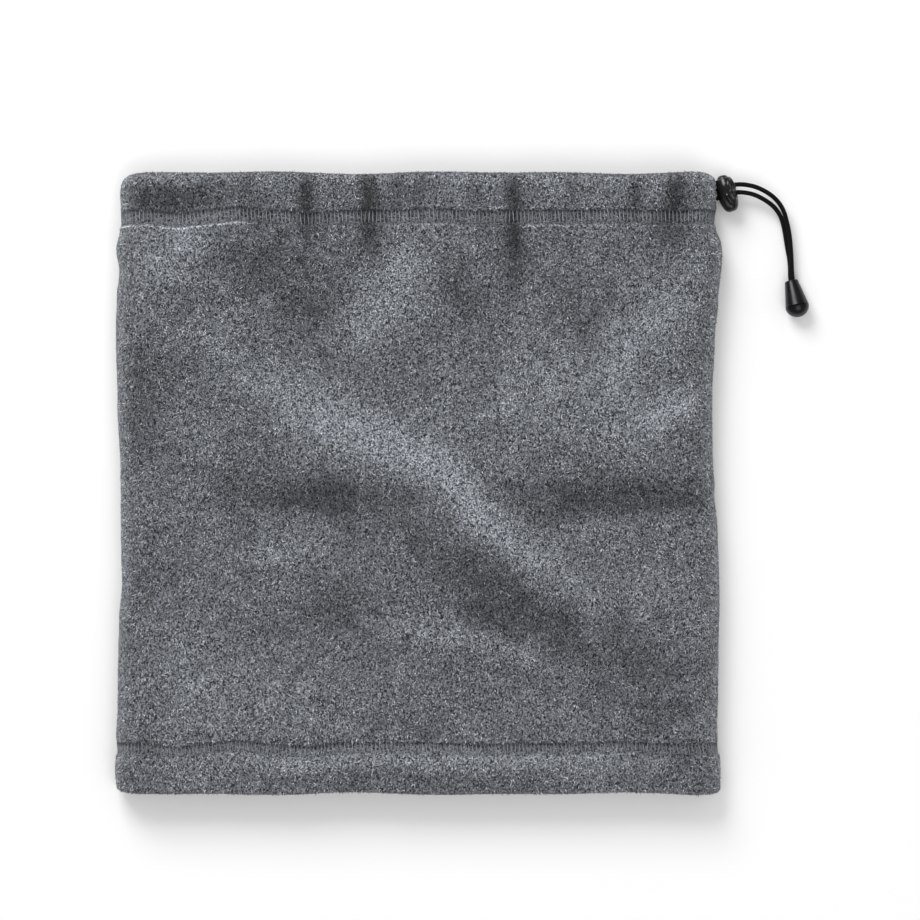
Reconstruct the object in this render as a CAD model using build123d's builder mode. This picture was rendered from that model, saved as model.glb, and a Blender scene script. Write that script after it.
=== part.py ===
from build123d import *
from math import cos, pi, radians, sin, tan
import os

# Neck gaiter: a fleece tube lying flat, a drawcord in its top hem, a spring cord lock and a bell-shaped
# cord end. Millimetres. X runs across the tube, Y up the neck, Z up from the table. The origin is the
# middle of the tube's underside.

# ---------------------------------------------------------------- fleece tube
BODY_WIDTH = 260.0
TOP_HEM_WIDTH = 255.0
BODY_LENGTH = 266.8
LYING_HEIGHT = 17.0
FLEECE = 1.8
FOLD_RADIUS_LOW = 6.1
FOLD_RADIUS_HIGH = LYING_HEIGHT - FOLD_RADIUS_LOW
HEM_ROUND_SHARE = 0.8
HEM_EDGE_ROUND = HEM_ROUND_SHARE * FLEECE
HALF_LENGTH = BODY_LENGTH / 2

# hems: each is the same cloth turned inward and sewn down
CHANNEL_GAP = 2.4
CHANNEL_DEPTH = 14.5
TOP_BAND = 5.8
BOTTOM_HEM_DEPTH = 17.3
BOTTOM_BAND = 4.5
HEM_ALLOWANCE = 1.0
TAPER_LENGTH = 14.0

CHANNEL_TOP = HALF_LENGTH - FLEECE
CHANNEL_LOW = HALF_LENGTH - FLEECE - CHANNEL_DEPTH
TOP_BAND_LOW = CHANNEL_LOW - TOP_BAND
TOP_FACING_LOW = TOP_BAND_LOW - HEM_ALLOWANCE
BOTTOM_BAND_LOW = BOTTOM_HEM_DEPTH - HALF_LENGTH
BOTTOM_BAND_HIGH = BOTTOM_BAND_LOW + BOTTOM_BAND
BOTTOM_FACING_HIGH = BOTTOM_BAND_HIGH + HEM_ALLOWANCE
DOUBLE_CLOTH = 2 * FLEECE
TOP_STACK = DOUBLE_CLOTH + CHANNEL_GAP

# sewing: threads lie in the groove that they pull into the pile
THREAD_GROOVE = 0.5
THREAD_SUNK = 0.06
BACK_SEAM_WIDTH = 5.0
BACK_SEAM_GAP = 0.4
BACK_SEAM_END = 3.0

# buttonhole in the right-hand fold
BUTTONHOLE_HEIGHT = 7.4
BUTTONHOLE_DEPTH = 6.4
BUTTONHOLE_BINDING = 0.8
BUTTONHOLE_DROP = 9.2
EDGE_X = TOP_HEM_WIDTH / 2

# care label, sewn into the back seam inside the tube
LABEL_WIDTH = 22.0
LABEL_HEIGHT = 34.0
LABEL_THICKNESS = 0.3
LABEL_GAP = 0.05
LABEL_RISE = 40.0

# ---------------------------------------------------------------- drawcord
CORD_DIAMETER = 2.0
EXIT_Z = FOLD_RADIUS_LOW
EXIT_LEAD = 3.0
ARC_SHARE = 0.45

# the two free strands, as (across from the hem's edge, up from the tube's top edge, above the table)
OUTER_STRAND = [
    (0.1, -7.1, EXIT_Z),
    (5.5, -5.0, EXIT_Z),
    (11.7, -4.3, EXIT_Z),
    (17.8, -5.4, EXIT_Z),
    (23.3, -8.1, EXIT_Z),
    (27.4, -11.6, 6.0),
    (29.9, -15.5, 5.6),
    (31.4, -20.4, 5.0),
    (32.6, -25.9, 4.4),
    (33.2, -31.9, 4.15),
    (33.5, -38.2, 4.1),
    (33.85, -46.1, 3.92),
    (34.8, -50.6, 4.83),
]
INNER_STRAND = [
    (0.1, -11.1, EXIT_Z),
    (5.1, -8.6, EXIT_Z),
    (10.9, -7.7, EXIT_Z),
    (16.7, -8.6, EXIT_Z),
    (21.4, -10.9, 6.0),
    (25.5, -13.7, 5.4),
    (28.4, -17.2, 4.2),
    (30.0, -21.2, 3.1),
    (31.0, -26.4, 2.4),
    (31.9, -32.0, 2.1),
    (33.1, -38.0, 2.0),
    (33.15, -46.1, 1.87),
    (34.1, -50.6, 2.78),
]

# ---------------------------------------------------------------- cord lock
# its own frame: x along the cord hole, y up the barrel, origin midway between the two strands
LOCK_ACROSS = 5.0
LOCK_UP = -6.9
LOCK_TILT = 16.8
STRAND_SPACING = 3.4
HOLE_LENGTH = 6.9
HOLE_WIDTH = 3.0
BUTTON_TRAVEL = 1.6
BUTTON_TOP = 6.5
BUTTON_ROUND = 1.9
PLUNGER_RADIUS = 2.5
PLUNGER_FIT = 0.08
PLUNGER_WEB = 1.0
SLOT_PLAY = 0.1
RIM_Y = 4.8
RIM_ROUND = 0.5
FOOT_Y = -9.7
FOOT_ROUND = 1.5
# barrel sections from rim to foot: height up the barrel, half width, half depth
BARREL_SECTIONS = [
    (RIM_Y, 3.4, 4.2),
    (1.5, 4.25, 5.2),
    (-2.5, 4.3, 5.2),
    (-7.0, 3.5, 4.3),
    (FOOT_Y, 2.4, 3.0),
]
RIB_RISE = 0.35
RIB_WIDTH = 1.0
RIB_LENGTH = 4.2
RIB_LEAN = 12.0
RIB_CENTRES = [(1.7, -3.6), (-0.3, -4.8), (-2.1, -5.6)]
SPRING_RADIUS = 1.9
SPRING_WIRE = 0.4
SPRING_HEIGHT = 3.0
SPRING_PITCH = 0.95
SPRING_SEAT_GAP = 0.1

# ---------------------------------------------------------------- bell-shaped cord end
# its own axis runs from the mouth, where the strands go in, to the cap
MOUTH_ACROSS = 33.5
MOUTH_UP = -46.1
BELL_HEADING = 12.0
MOUTH_RADIUS = 2.25
NECK_RADIUS = 3.0
NECK_ROUND = 0.6
SHOULDER = 0.8
BASE_RADIUS = 5.15
CONE_LENGTH = 11.7
SHELL_WALL = 0.95
THROAT_LENGTH = 2.4
THROAT_FLARE = 0.9
DOME_HEIGHT = 4.5
SPIGOT_LENGTH = 1.5
SPIGOT_WALL = 0.8
SPIGOT_FIT = 0.05
PARTING_BREAK = 0.25
KNOT_RADIUS = 2.6
KNOT_CENTRE = 7.7
TABLE_GAP = 0.02

os.makedirs("parts", exist_ok=True)


def save(piece, name):
    """Label a finished piece and write its file."""
    piece.part.label = name
    export_step(piece.part, f"parts/{name}.step")


def tail_point(across, up, height):
    """A point given from the top hem's right edge and the tube's top edge."""
    return Vector(EDGE_X + across, HALF_LENGTH + up, height)


# ---------------------------------------------------------------- tube sections


def cross_plane(y):
    """Plane across the neck at height y, facing down the tube."""
    return Plane(origin=(0, y, 0), x_dir=(1, 0, 0), z_dir=(0, -1, 0))


def tube_section(y, width, inset):
    """The flattened tube's filled section at height y, drawn in from its outer face by inset."""
    low = FOLD_RADIUS_LOW - inset
    high = FOLD_RADIUS_HIGH - inset
    flat_low = width / 2 - FOLD_RADIUS_LOW
    flat_high = width / 2 - FOLD_RADIUS_HIGH
    with BuildSketch(cross_plane(y)) as section:
        with BuildLine():
            under = Line((-flat_low, inset), (flat_low, inset))
            right_low = JernArc(under @ 1, under % 1, radius=low, arc_size=90)
            right_high = JernArc(right_low @ 1, right_low % 1, radius=high, arc_size=90)
            over = Line(right_high @ 1, (-flat_high, LYING_HEIGHT - inset))
            left_high = JernArc(over @ 1, over % 1, radius=high, arc_size=90)
            JernArc(left_high @ 1, left_high % 1, radius=low, arc_size=90)
        make_face()
    return section.sketch


def band(low, high, width, inset, mode=Mode.ADD):
    """Fill or cut the tube's section between two heights."""
    extrude(tube_section(high, width, inset), amount=high - low, mode=mode)


def taper(low, high, inset, mode=Mode.ADD):
    """Fill or cut the stretch where the body narrows to the top hem."""
    wide = tube_section(low, BODY_WIDTH, inset)
    narrow = tube_section(high, TOP_HEM_WIDTH, inset)
    loft([wide, narrow], mode=mode)


def back_seam_spans():
    """Stretches of the back seam between the hems' stitch bands."""
    return [
        (BACK_SEAM_END - HALF_LENGTH, BOTTOM_BAND_LOW - BACK_SEAM_GAP),
        (BOTTOM_BAND_HIGH + BACK_SEAM_GAP, TOP_BAND_LOW - BACK_SEAM_GAP),
        (CHANNEL_LOW + BACK_SEAM_GAP, HALF_LENGTH - BACK_SEAM_END),
    ]


def seam_strip(low, high, width, bottom, top, mode=Mode.ADD):
    """Fill or cut a strip on the underside, along the back seam."""
    with BuildSketch(Plane.XY.offset(bottom)) as strip:
        with Locations((0, (low + high) / 2)):
            Rectangle(width, high - low)
    extrude(strip.sketch, amount=top - bottom, mode=mode)


def buttonhole(grow):
    """Plane and sketch of the buttonhole, seen along X, larger by grow all round."""
    middle = (0, HALF_LENGTH - BUTTONHOLE_DROP, EXIT_Z)
    with BuildSketch(Plane(origin=middle, x_dir=(0, 1, 0), z_dir=(1, 0, 0))) as hole:
        size = (BUTTONHOLE_HEIGHT + 2 * grow, BUTTONHOLE_DEPTH + 2 * grow)
        RectangleRounded(*size, radius=min(size) / 2 - 0.1)
    return hole.sketch


# ---------------------------------------------------------------- fleece panel

TAPER_HIGH = TOP_FACING_LOW
TAPER_LOW = TAPER_HIGH - TAPER_LENGTH

# the channel round the top hem, between the cloth and its turned-in facing
with BuildPart() as channel:
    band(CHANNEL_LOW, CHANNEL_TOP, TOP_HEM_WIDTH, FLEECE)
    band(CHANNEL_LOW, CHANNEL_TOP, TOP_HEM_WIDTH, FLEECE + CHANNEL_GAP, Mode.SUBTRACT)

# what the threads press out of the pile
with BuildPart() as grooves:
    band(TOP_BAND_LOW, CHANNEL_LOW, TOP_HEM_WIDTH, 0)
    band(TOP_BAND_LOW, CHANNEL_LOW, TOP_HEM_WIDTH, THREAD_GROOVE, Mode.SUBTRACT)
    band(BOTTOM_BAND_LOW, BOTTOM_BAND_HIGH, BODY_WIDTH, 0)
    band(BOTTOM_BAND_LOW, BOTTOM_BAND_HIGH, BODY_WIDTH, THREAD_GROOVE, Mode.SUBTRACT)
    for span_low, span_high in back_seam_spans():
        seam_strip(span_low, span_high, BACK_SEAM_WIDTH, 0, THREAD_GROOVE)

with BuildPart() as buttonhole_cut:
    band(CHANNEL_LOW, CHANNEL_TOP, TOP_HEM_WIDTH, 0)
    band(CHANNEL_LOW, CHANNEL_TOP, TOP_HEM_WIDTH, FLEECE, Mode.SUBTRACT)
    extrude(buttonhole(BUTTONHOLE_BINDING), amount=EDGE_X, mode=Mode.INTERSECT)

with BuildPart() as fleece_panel:
    band(-HALF_LENGTH, TAPER_LOW, BODY_WIDTH, 0)
    taper(TAPER_LOW, TAPER_HIGH, 0)
    band(TAPER_HIGH, HALF_LENGTH, TOP_HEM_WIDTH, 0)
    # the way through for head and neck, narrower inside each hem
    band(-HALF_LENGTH, BOTTOM_FACING_HIGH, BODY_WIDTH, DOUBLE_CLOTH, Mode.SUBTRACT)
    band(BOTTOM_FACING_HIGH, TAPER_LOW, BODY_WIDTH, FLEECE, Mode.SUBTRACT)
    taper(TAPER_LOW, TAPER_HIGH, FLEECE, Mode.SUBTRACT)
    band(TAPER_HIGH, CHANNEL_LOW, TOP_HEM_WIDTH, DOUBLE_CLOTH, Mode.SUBTRACT)
    band(CHANNEL_LOW, HALF_LENGTH, TOP_HEM_WIDTH, TOP_STACK, Mode.SUBTRACT)
    fillet(fleece_panel.faces().sort_by(Axis.Y)[-1].edges(), radius=HEM_EDGE_ROUND)
    fillet(fleece_panel.faces().sort_by(Axis.Y)[0].edges(), radius=HEM_EDGE_ROUND)
    add(channel.part, mode=Mode.SUBTRACT)
    add(grooves.part, mode=Mode.SUBTRACT)
    add(buttonhole_cut.part, mode=Mode.SUBTRACT)
save(fleece_panel, "fleece_panel")

# ---------------------------------------------------------------- sewing and label

with BuildPart() as top_hem_stitching:
    band(TOP_BAND_LOW, CHANNEL_LOW, TOP_HEM_WIDTH, THREAD_SUNK)
    band(TOP_BAND_LOW, CHANNEL_LOW, TOP_HEM_WIDTH, THREAD_GROOVE, Mode.SUBTRACT)
save(top_hem_stitching, "top_hem_stitching")

with BuildPart() as bottom_hem_stitching:
    band(BOTTOM_BAND_LOW, BOTTOM_BAND_HIGH, BODY_WIDTH, THREAD_SUNK)
    band(BOTTOM_BAND_LOW, BOTTOM_BAND_HIGH, BODY_WIDTH, THREAD_GROOVE, Mode.SUBTRACT)
save(bottom_hem_stitching, "bottom_hem_stitching")

with BuildPart() as back_seam_stitching:
    for span_low, span_high in back_seam_spans():
        seam_strip(span_low, span_high, BACK_SEAM_WIDTH, THREAD_SUNK, THREAD_GROOVE)
save(back_seam_stitching, "back_seam_stitching")

with BuildPart() as buttonhole_binding:
    band(CHANNEL_LOW, CHANNEL_TOP, TOP_HEM_WIDTH, THREAD_SUNK)
    band(CHANNEL_LOW, CHANNEL_TOP, TOP_HEM_WIDTH, FLEECE, Mode.SUBTRACT)
    extrude(buttonhole(BUTTONHOLE_BINDING), amount=EDGE_X, mode=Mode.INTERSECT)
    extrude(buttonhole(0), amount=EDGE_X, mode=Mode.SUBTRACT)
save(buttonhole_binding, "buttonhole_binding")

with BuildPart() as care_label:
    with BuildSketch(Plane.XY.offset(FLEECE + LABEL_GAP)):
        with Locations((LABEL_WIDTH / 2, BOTTOM_FACING_HIGH + LABEL_RISE)):
            Rectangle(LABEL_WIDTH, LABEL_HEIGHT)
    extrude(amount=LABEL_THICKNESS)
save(care_label, "care_label")

# ---------------------------------------------------------------- drawcord


def corner_radii(points):
    """Radius of each corner: as large as its two runs allow."""
    radii = []
    for before, corner, after in zip(points, points[1:], points[2:]):
        shorter = min((corner - before).length, (after - corner).length)
        turn = (corner - before).get_angle(after - corner)
        radii.append(ARC_SHARE * shorter / tan(radians(turn) / 2))
    return radii


def cord_tube(name, points):
    """Make one stretch of cord through the points and write it."""
    radii = corner_radii(points)
    with BuildPart() as cord:
        with BuildLine() as route:
            FilletPolyline(*points, radius=radii)
        with BuildSketch(Plane(origin=route.line @ 0, z_dir=route.line % 0)):
            Circle(CORD_DIAMETER / 2)
        sweep()
    expected = pi * CORD_DIAMETER**2 / 4 * route.wire().length
    print(name, "length", round(route.wire().length, 1), "radii", [round(r, 1) for r in radii])
    print(name, "volume over section times length", round(cord.part.volume / expected, 4))
    save(cord, name)


outer_points = [tail_point(*point) for point in OUTER_STRAND]
inner_points = [tail_point(*point) for point in INNER_STRAND]
cord_tube("tail_strand_outer", outer_points)
cord_tube("tail_strand_inner", inner_points)


def lead_in(points):
    """A point inside the channel, straight on from a strand's first run."""
    return points[0] + (points[0] - points[1]).normalized() * EXIT_LEAD


cord_depth = FLEECE + CHANNEL_GAP / 2
fold_x = EDGE_X - cord_depth
over_z = LYING_HEIGHT - cord_depth
under_z = cord_depth
top_y = HALF_LENGTH

# across the front, round the left-hand fold and back behind, wandering a little in the channel
loop_points = [
    outer_points[0],
    lead_in(outer_points),
    Vector(fold_x - 0.3, top_y - 8.2, 9.4),
    Vector(fold_x - 4.6, top_y - 7.8, over_z - 0.2),
    Vector(85, top_y - 6.9, over_z),
    Vector(45, top_y - 8.6, over_z),
    Vector(0, top_y - 6.4, over_z),
    Vector(-45, top_y - 8.4, over_z),
    Vector(-85, top_y - 7.0, over_z),
    Vector(-fold_x + 4.6, top_y - 7.9, over_z - 0.1),
    Vector(-fold_x + 0.1, top_y - 8.3, 9.4),
    Vector(-fold_x + 0.2, top_y - 8.9, under_z + 1.2),
    Vector(-fold_x + 3.4, top_y - 9.2, under_z),
    Vector(-85, top_y - 8.8, under_z),
    Vector(-45, top_y - 10.6, under_z),
    Vector(0, top_y - 9.0, under_z),
    Vector(45, top_y - 10.9, under_z),
    Vector(85, top_y - 10.2, under_z),
    Vector(fold_x - 3.4, top_y - 12.2, under_z),
    lead_in(inner_points),
    inner_points[0],
]
cord_tube("drawcord_loop", loop_points)

# ---------------------------------------------------------------- cord lock

lock_origin = tail_point(LOCK_ACROSS, LOCK_UP, EXIT_Z)
hole_axis = Vector(cos(radians(LOCK_TILT)), sin(radians(LOCK_TILT)), 0)
barrel_axis = Vector(-sin(radians(LOCK_TILT)), cos(radians(LOCK_TILT)), 0)


def barrel_plane(y):
    """Plane across the barrel at height y up it, facing the button."""
    return Plane(origin=lock_origin + barrel_axis * y, x_dir=hole_axis, z_dir=barrel_axis)


def barrel(grow):
    """The barrel's egg-shaped outside, larger by grow all round."""
    sections = []
    for height, half_width, half_depth in BARREL_SECTIONS:
        with BuildSketch(barrel_plane(height)) as section:
            Ellipse(half_width + grow, half_depth + grow)
        sections.append(section.sketch)
    loft(sections)


def slot_through(low, high, mode):
    """Cut the cord's slot along the hole axis, from one height on the barrel to another."""
    middle = lock_origin + barrel_axis * (low + high) / 2
    with BuildSketch(Plane(origin=middle, x_dir=barrel_axis, z_dir=hole_axis)) as slot:
        SlotOverall(high - low, HOLE_WIDTH)
    extrude(slot.sketch, amount=BARREL_SECTIONS[1][1] * 2, both=True, mode=mode)


PLUNGER_BOTTOM = -HOLE_LENGTH / 2 - PLUNGER_WEB
BORE_BOTTOM = PLUNGER_BOTTOM - SPRING_HEIGHT - 2 * SPRING_SEAT_GAP

with BuildPart() as grip_ribs:
    barrel(RIB_RISE)
    rib_plane = Plane(origin=lock_origin, x_dir=hole_axis, z_dir=(0, 0, 1))
    with BuildSketch(rib_plane) as rib_bars:
        with Locations(RIB_CENTRES):
            SlotOverall(RIB_LENGTH, RIB_WIDTH, rotation=90 + RIB_LEAN)
    extrude(amount=BARREL_SECTIONS[1][2] * 2, mode=Mode.INTERSECT)

with BuildPart() as cord_lock_body:
    barrel(0)
    fillet(cord_lock_body.faces().sort_by(Axis(lock_origin, barrel_axis))[0].edges(), FOOT_ROUND)
    fillet(cord_lock_body.faces().sort_by(Axis(lock_origin, barrel_axis))[-1].edges(), RIM_ROUND)
    add(grip_ribs.part)
    with BuildSketch(barrel_plane(RIM_Y + RIB_RISE)):
        Circle(PLUNGER_RADIUS + PLUNGER_FIT)
    extrude(amount=BORE_BOTTOM - RIM_Y - RIB_RISE, mode=Mode.SUBTRACT)
    slot_through(-HOLE_LENGTH / 2, HOLE_LENGTH / 2, Mode.SUBTRACT)
save(cord_lock_body, "cord_lock_body")

with BuildPart() as cord_lock_plunger:
    with BuildSketch(barrel_plane(PLUNGER_BOTTOM)):
        Circle(PLUNGER_RADIUS)
    extrude(amount=BUTTON_TOP - PLUNGER_BOTTOM)
    fillet(cord_lock_plunger.faces().sort_by(Axis(lock_origin, barrel_axis))[-1].edges(), BUTTON_ROUND)
    slot_through(SLOT_PLAY - HOLE_LENGTH / 2, HOLE_LENGTH / 2 + BUTTON_TRAVEL - SLOT_PLAY, Mode.SUBTRACT)
save(cord_lock_plunger, "cord_lock_plunger")

with BuildPart() as cord_lock_spring:
    with BuildLine() as coil:
        seat = lock_origin + barrel_axis * (BORE_BOTTOM + SPRING_SEAT_GAP + SPRING_WIRE / 2)
        Helix(SPRING_PITCH, SPRING_HEIGHT - SPRING_WIRE, SPRING_RADIUS, center=seat, direction=barrel_axis)
    with BuildSketch(Plane(origin=coil.line @ 0, z_dir=coil.line % 0)):
        Circle(SPRING_WIRE / 2)
    sweep(is_frenet=True)
save(cord_lock_spring, "cord_lock_spring")

# ---------------------------------------------------------------- bell-shaped cord end
# the cone lies on its side, so its axis rises towards the cap by the cone's half angle

cone_rise = (BASE_RADIUS - NECK_RADIUS) / (CONE_LENGTH - SHOULDER)
cone_slant = (1 + cone_rise**2) ** 0.5
axis_level = Vector(sin(radians(BELL_HEADING)), -cos(radians(BELL_HEADING)), 0)
bell_axis = (axis_level + Vector(0, 0, cone_rise)).normalized()
mouth_height = (NECK_RADIUS * cone_slant) - SHOULDER * bell_axis.Z + TABLE_GAP
mouth = tail_point(MOUTH_ACROSS, MOUTH_UP, mouth_height)
bell_side = Vector(0, 0, 1).cross(axis_level)
# sketches here use x for the radius and y for the distance along the axis from the mouth
bell_plane = Plane(origin=mouth, x_dir=bell_side, z_dir=bell_side.cross(bell_axis))
bell_line = Axis(mouth, bell_axis)
spigot_radius = BASE_RADIUS - SHELL_WALL - SPIGOT_FIT
dome_foot = CONE_LENGTH + PARTING_BREAK
dome_rise = DOME_HEIGHT - PARTING_BREAK
dome_radius = (BASE_RADIUS**2 + dome_rise**2) / (2 * dome_rise)

with BuildPart() as cord_end_shell:
    with BuildSketch(bell_plane) as shell_profile:
        with BuildLine():
            Polyline(
                (MOUTH_RADIUS, 0),
                (NECK_RADIUS, 0),
                (NECK_RADIUS, SHOULDER),
                (BASE_RADIUS, CONE_LENGTH - PARTING_BREAK),
                (BASE_RADIUS - PARTING_BREAK, CONE_LENGTH),
                (BASE_RADIUS - SHELL_WALL, CONE_LENGTH),
                (BASE_RADIUS - SHELL_WALL, CONE_LENGTH - SPIGOT_LENGTH),
                (MOUTH_RADIUS + THROAT_FLARE, THROAT_LENGTH + THROAT_FLARE),
                (MOUTH_RADIUS, THROAT_LENGTH),
                close=True,
            )
        make_face()
        fillet(shell_profile.vertices().group_by(Axis.Y)[0].sort_by(Axis.X)[-1], radius=NECK_ROUND)
    revolve(axis=bell_line)
save(cord_end_shell, "cord_end_shell")

with BuildPart() as cord_end_cap:
    with BuildSketch(bell_plane):
        with BuildLine():
            Polyline(
                (0, CONE_LENGTH + DOME_HEIGHT),
                (0, CONE_LENGTH),
                (spigot_radius - SPIGOT_WALL, CONE_LENGTH),
                (spigot_radius - SPIGOT_WALL, CONE_LENGTH - SPIGOT_LENGTH),
                (spigot_radius, CONE_LENGTH - SPIGOT_LENGTH),
                (spigot_radius, CONE_LENGTH),
                (BASE_RADIUS - PARTING_BREAK, CONE_LENGTH),
                (BASE_RADIUS, dome_foot),
            )
            RadiusArc((BASE_RADIUS, dome_foot), (0, CONE_LENGTH + DOME_HEIGHT), -dome_radius)
        make_face()
    revolve(axis=bell_line)
save(cord_end_cap, "cord_end_cap")

with BuildPart() as cord_knot:
    with Locations(mouth + bell_axis * KNOT_CENTRE):
        Sphere(KNOT_RADIUS)
save(cord_knot, "cord_knot")

print("mouth", mouth, "bell axis", bell_axis)
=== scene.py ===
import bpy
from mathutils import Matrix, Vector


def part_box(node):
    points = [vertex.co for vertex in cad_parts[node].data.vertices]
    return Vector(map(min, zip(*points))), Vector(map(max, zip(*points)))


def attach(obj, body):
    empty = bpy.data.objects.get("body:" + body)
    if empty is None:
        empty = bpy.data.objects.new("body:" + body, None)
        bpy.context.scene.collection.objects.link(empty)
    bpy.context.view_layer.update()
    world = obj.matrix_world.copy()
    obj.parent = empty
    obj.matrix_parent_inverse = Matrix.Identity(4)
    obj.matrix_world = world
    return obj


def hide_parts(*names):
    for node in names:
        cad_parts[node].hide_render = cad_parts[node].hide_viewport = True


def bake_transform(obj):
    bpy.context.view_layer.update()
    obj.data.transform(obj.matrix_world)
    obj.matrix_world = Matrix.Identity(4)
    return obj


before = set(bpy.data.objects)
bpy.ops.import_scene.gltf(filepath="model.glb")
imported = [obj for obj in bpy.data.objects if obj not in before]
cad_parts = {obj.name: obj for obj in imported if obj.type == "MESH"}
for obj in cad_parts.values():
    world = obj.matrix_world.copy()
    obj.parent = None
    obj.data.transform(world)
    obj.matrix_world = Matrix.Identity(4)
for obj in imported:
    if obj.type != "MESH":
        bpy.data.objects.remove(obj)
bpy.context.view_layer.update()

import logging
import math
from dataclasses import dataclass, field
from enum import Enum

import bpy
import numpy as np
from mathutils import Vector

# A neck gaiter lying flat: a fleece tube, its sewing, its drawcord, the cord lock and the cord's bell end.
# Metres throughout; lists of places are in millimetres and are turned into metres by MM.

LOG = logging.getLogger("gaiter")
MM = 0.001
Array = np.ndarray


# ------------------------------------------------------------------ places taken from the frame


def node_box(name: str) -> tuple[Array, Array]:
    """Lowest and highest corner of a frame node.

    Args:
        name: the node's name.

    Returns:
        The two corners as arrays, in metres.
    """
    low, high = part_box(name)
    return np.array(low), np.array(high)


PANEL_HIGH = node_box("fleece_panel")[1]
TOP_ROW_LOW, TOP_ROW_HIGH = node_box("top_hem_stitching")
BOTTOM_ROW_LOW, BOTTOM_ROW_HIGH = node_box("bottom_hem_stitching")
BUTTONHOLE_LOW, BUTTONHOLE_HIGH = node_box("buttonhole_binding")
LABEL_LOW, LABEL_HIGH = node_box("care_label")

TOP_Y = float(PANEL_HIGH[1])
BODY_HALF_WIDTH = float(PANEL_HIGH[0])
HEM_HALF_WIDTH = float(TOP_ROW_HIGH[0]) + 0.06 * MM
LYING_HEIGHT = float(PANEL_HIGH[2])
EXIT_Z = float(BUTTONHOLE_LOW[2] + BUTTONHOLE_HIGH[2]) / 2
LOCK_X = 132.5 * MM
LOCK_Y = 126.5 * MM
LOCK_TILT = 16.8
THREAD_SIDES = 6
THREAD_END = 0.25


# ------------------------------------------------------------------ small tools


def smooth(value: Array) -> Array:
    """Ease from 0 to 1 with level ends, outside values held."""
    held = np.clip(value, 0.0, 1.0)
    return held * held * (3.0 - 2.0 * held)


def eased_profile(at: Array, knots: list[tuple[float, float]]) -> Array:
    """Value of a given profile, eased between its knots.

    Args:
        at: where to read it, in metres.
        knots: (place, value) pairs in millimetres, places falling.

    Returns:
        The profile's value at each place, in metres.
    """
    places = np.array([knot[0] for knot in knots][::-1]) * MM
    values = np.array([knot[1] for knot in knots][::-1]) * MM
    index = np.clip(np.searchsorted(places, at) - 1, 0, len(places) - 2)
    share = smooth((at - places[index]) / (places[index + 1] - places[index]))
    return values[index] * (1 - share) + values[index + 1] * share


def lattice_value(cell: Array, seed: int) -> Array:
    """A fixed random number from 0 to 1 for each whole-numbered lattice cell."""
    mixed = cell.astype(np.int64) * np.array([374761393, 668265263, 2147483647])
    total = mixed.sum(axis=-1) + seed * 1274126177
    total = (total ^ (total >> 13)) * 1103515245
    return ((total ^ (total >> 16)) & 0xFFFF) / 65535.0


def soft_noise(points: Array, grain: float, seed: int) -> Array:
    """Smooth value noise.

    Args:
        points: places, one row of three each.
        grain: size of one lump, in metres.
        seed: which pattern.

    Returns:
        A number from -1 to 1 for each place.
    """
    scaled = points / grain
    base = np.floor(scaled)
    share = smooth(scaled - base)
    total = np.zeros(len(points))
    for corner in np.ndindex(2, 2, 2):
        step = np.array(corner)
        weight = np.prod(np.where(step == 1, share, 1 - share), axis=1)
        total += weight * lattice_value(base + step, seed)
    return total * 2 - 1


def new_object(name: str, vertices: Array, faces: list[tuple[int, ...]] | Array) -> bpy.types.Object:
    """Make a smooth-shaded mesh object at the origin.

    Args:
        name: the piece's name.
        vertices: one row of three for each vertex.
        faces: vertex numbers of each face.

    Returns:
        The object, linked to the scene.
    """
    mesh = bpy.data.meshes.new(name)
    mesh.from_pydata([tuple(v) for v in vertices.tolist()], [], [tuple(f) for f in faces])
    mesh.update()
    mesh.polygons.foreach_set("use_smooth", [True] * len(mesh.polygons))
    made = bpy.data.objects.new(name, mesh)
    bpy.context.scene.collection.objects.link(made)
    return made


def set_corner_tone(piece: bpy.types.Object, name: str, tones: Array) -> None:
    """Store one number per vertex as a colour attribute that a material can read.

    Args:
        piece: the mesh object.
        name: the attribute's name.
        tones: a number from 0 to 1 for each vertex.
    """
    layer = piece.data.color_attributes.new(name=name, type="FLOAT_COLOR", domain="POINT")
    rgba = np.ones((len(tones), 4), dtype=np.float32)
    rgba[:, :3] = tones[:, None]
    layer.data.foreach_set("color", rgba.ravel())


def sweep_tubes(paths: list[Array], radius: float, sides: int) -> tuple[Array, Array]:
    """Sweep a round section along many short paths of equal point count.

    Args:
        paths: each an array of points.
        radius: the section's radius, in metres.
        sides: corners of the section.

    Returns:
        Vertices and four-cornered faces of all the tubes, narrowed at their open ends.
    """
    stack = np.stack(paths)
    count, steps = stack.shape[:2]
    forward = np.gradient(stack, axis=1)
    forward /= np.maximum(np.linalg.norm(forward, axis=2, keepdims=True), 1e-9)
    lean = np.where(np.abs(forward[..., 2:3]) > 0.9, [[[1.0, 0.0, 0.0]]], [[[0.0, 0.0, 1.0]]])
    side = np.cross(forward, lean)
    side /= np.maximum(np.linalg.norm(side, axis=2, keepdims=True), 1e-9)
    up = np.cross(side, forward)
    turn = np.arange(sides) * 2 * math.pi / sides
    girth = np.ones(steps) * radius
    girth[0] = girth[-1] = radius * THREAD_END
    ring = (
        stack[:, :, None, :]
        + girth[None, :, None, None] * np.cos(turn)[None, None, :, None] * side[:, :, None, :]
        + girth[None, :, None, None] * np.sin(turn)[None, None, :, None] * up[:, :, None, :]
    )
    vertices = ring.reshape(-1, 3)
    tube, step, corner = np.meshgrid(np.arange(count), np.arange(steps - 1), np.arange(sides), indexing="ij")
    first = (tube * steps + step) * sides
    nxt = (corner + 1) % sides
    faces = np.stack([first + corner, first + nxt, first + sides + nxt, first + sides + corner], axis=-1)
    return vertices, faces.reshape(-1, 4)


# ------------------------------------------------------------------ finishes


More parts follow.
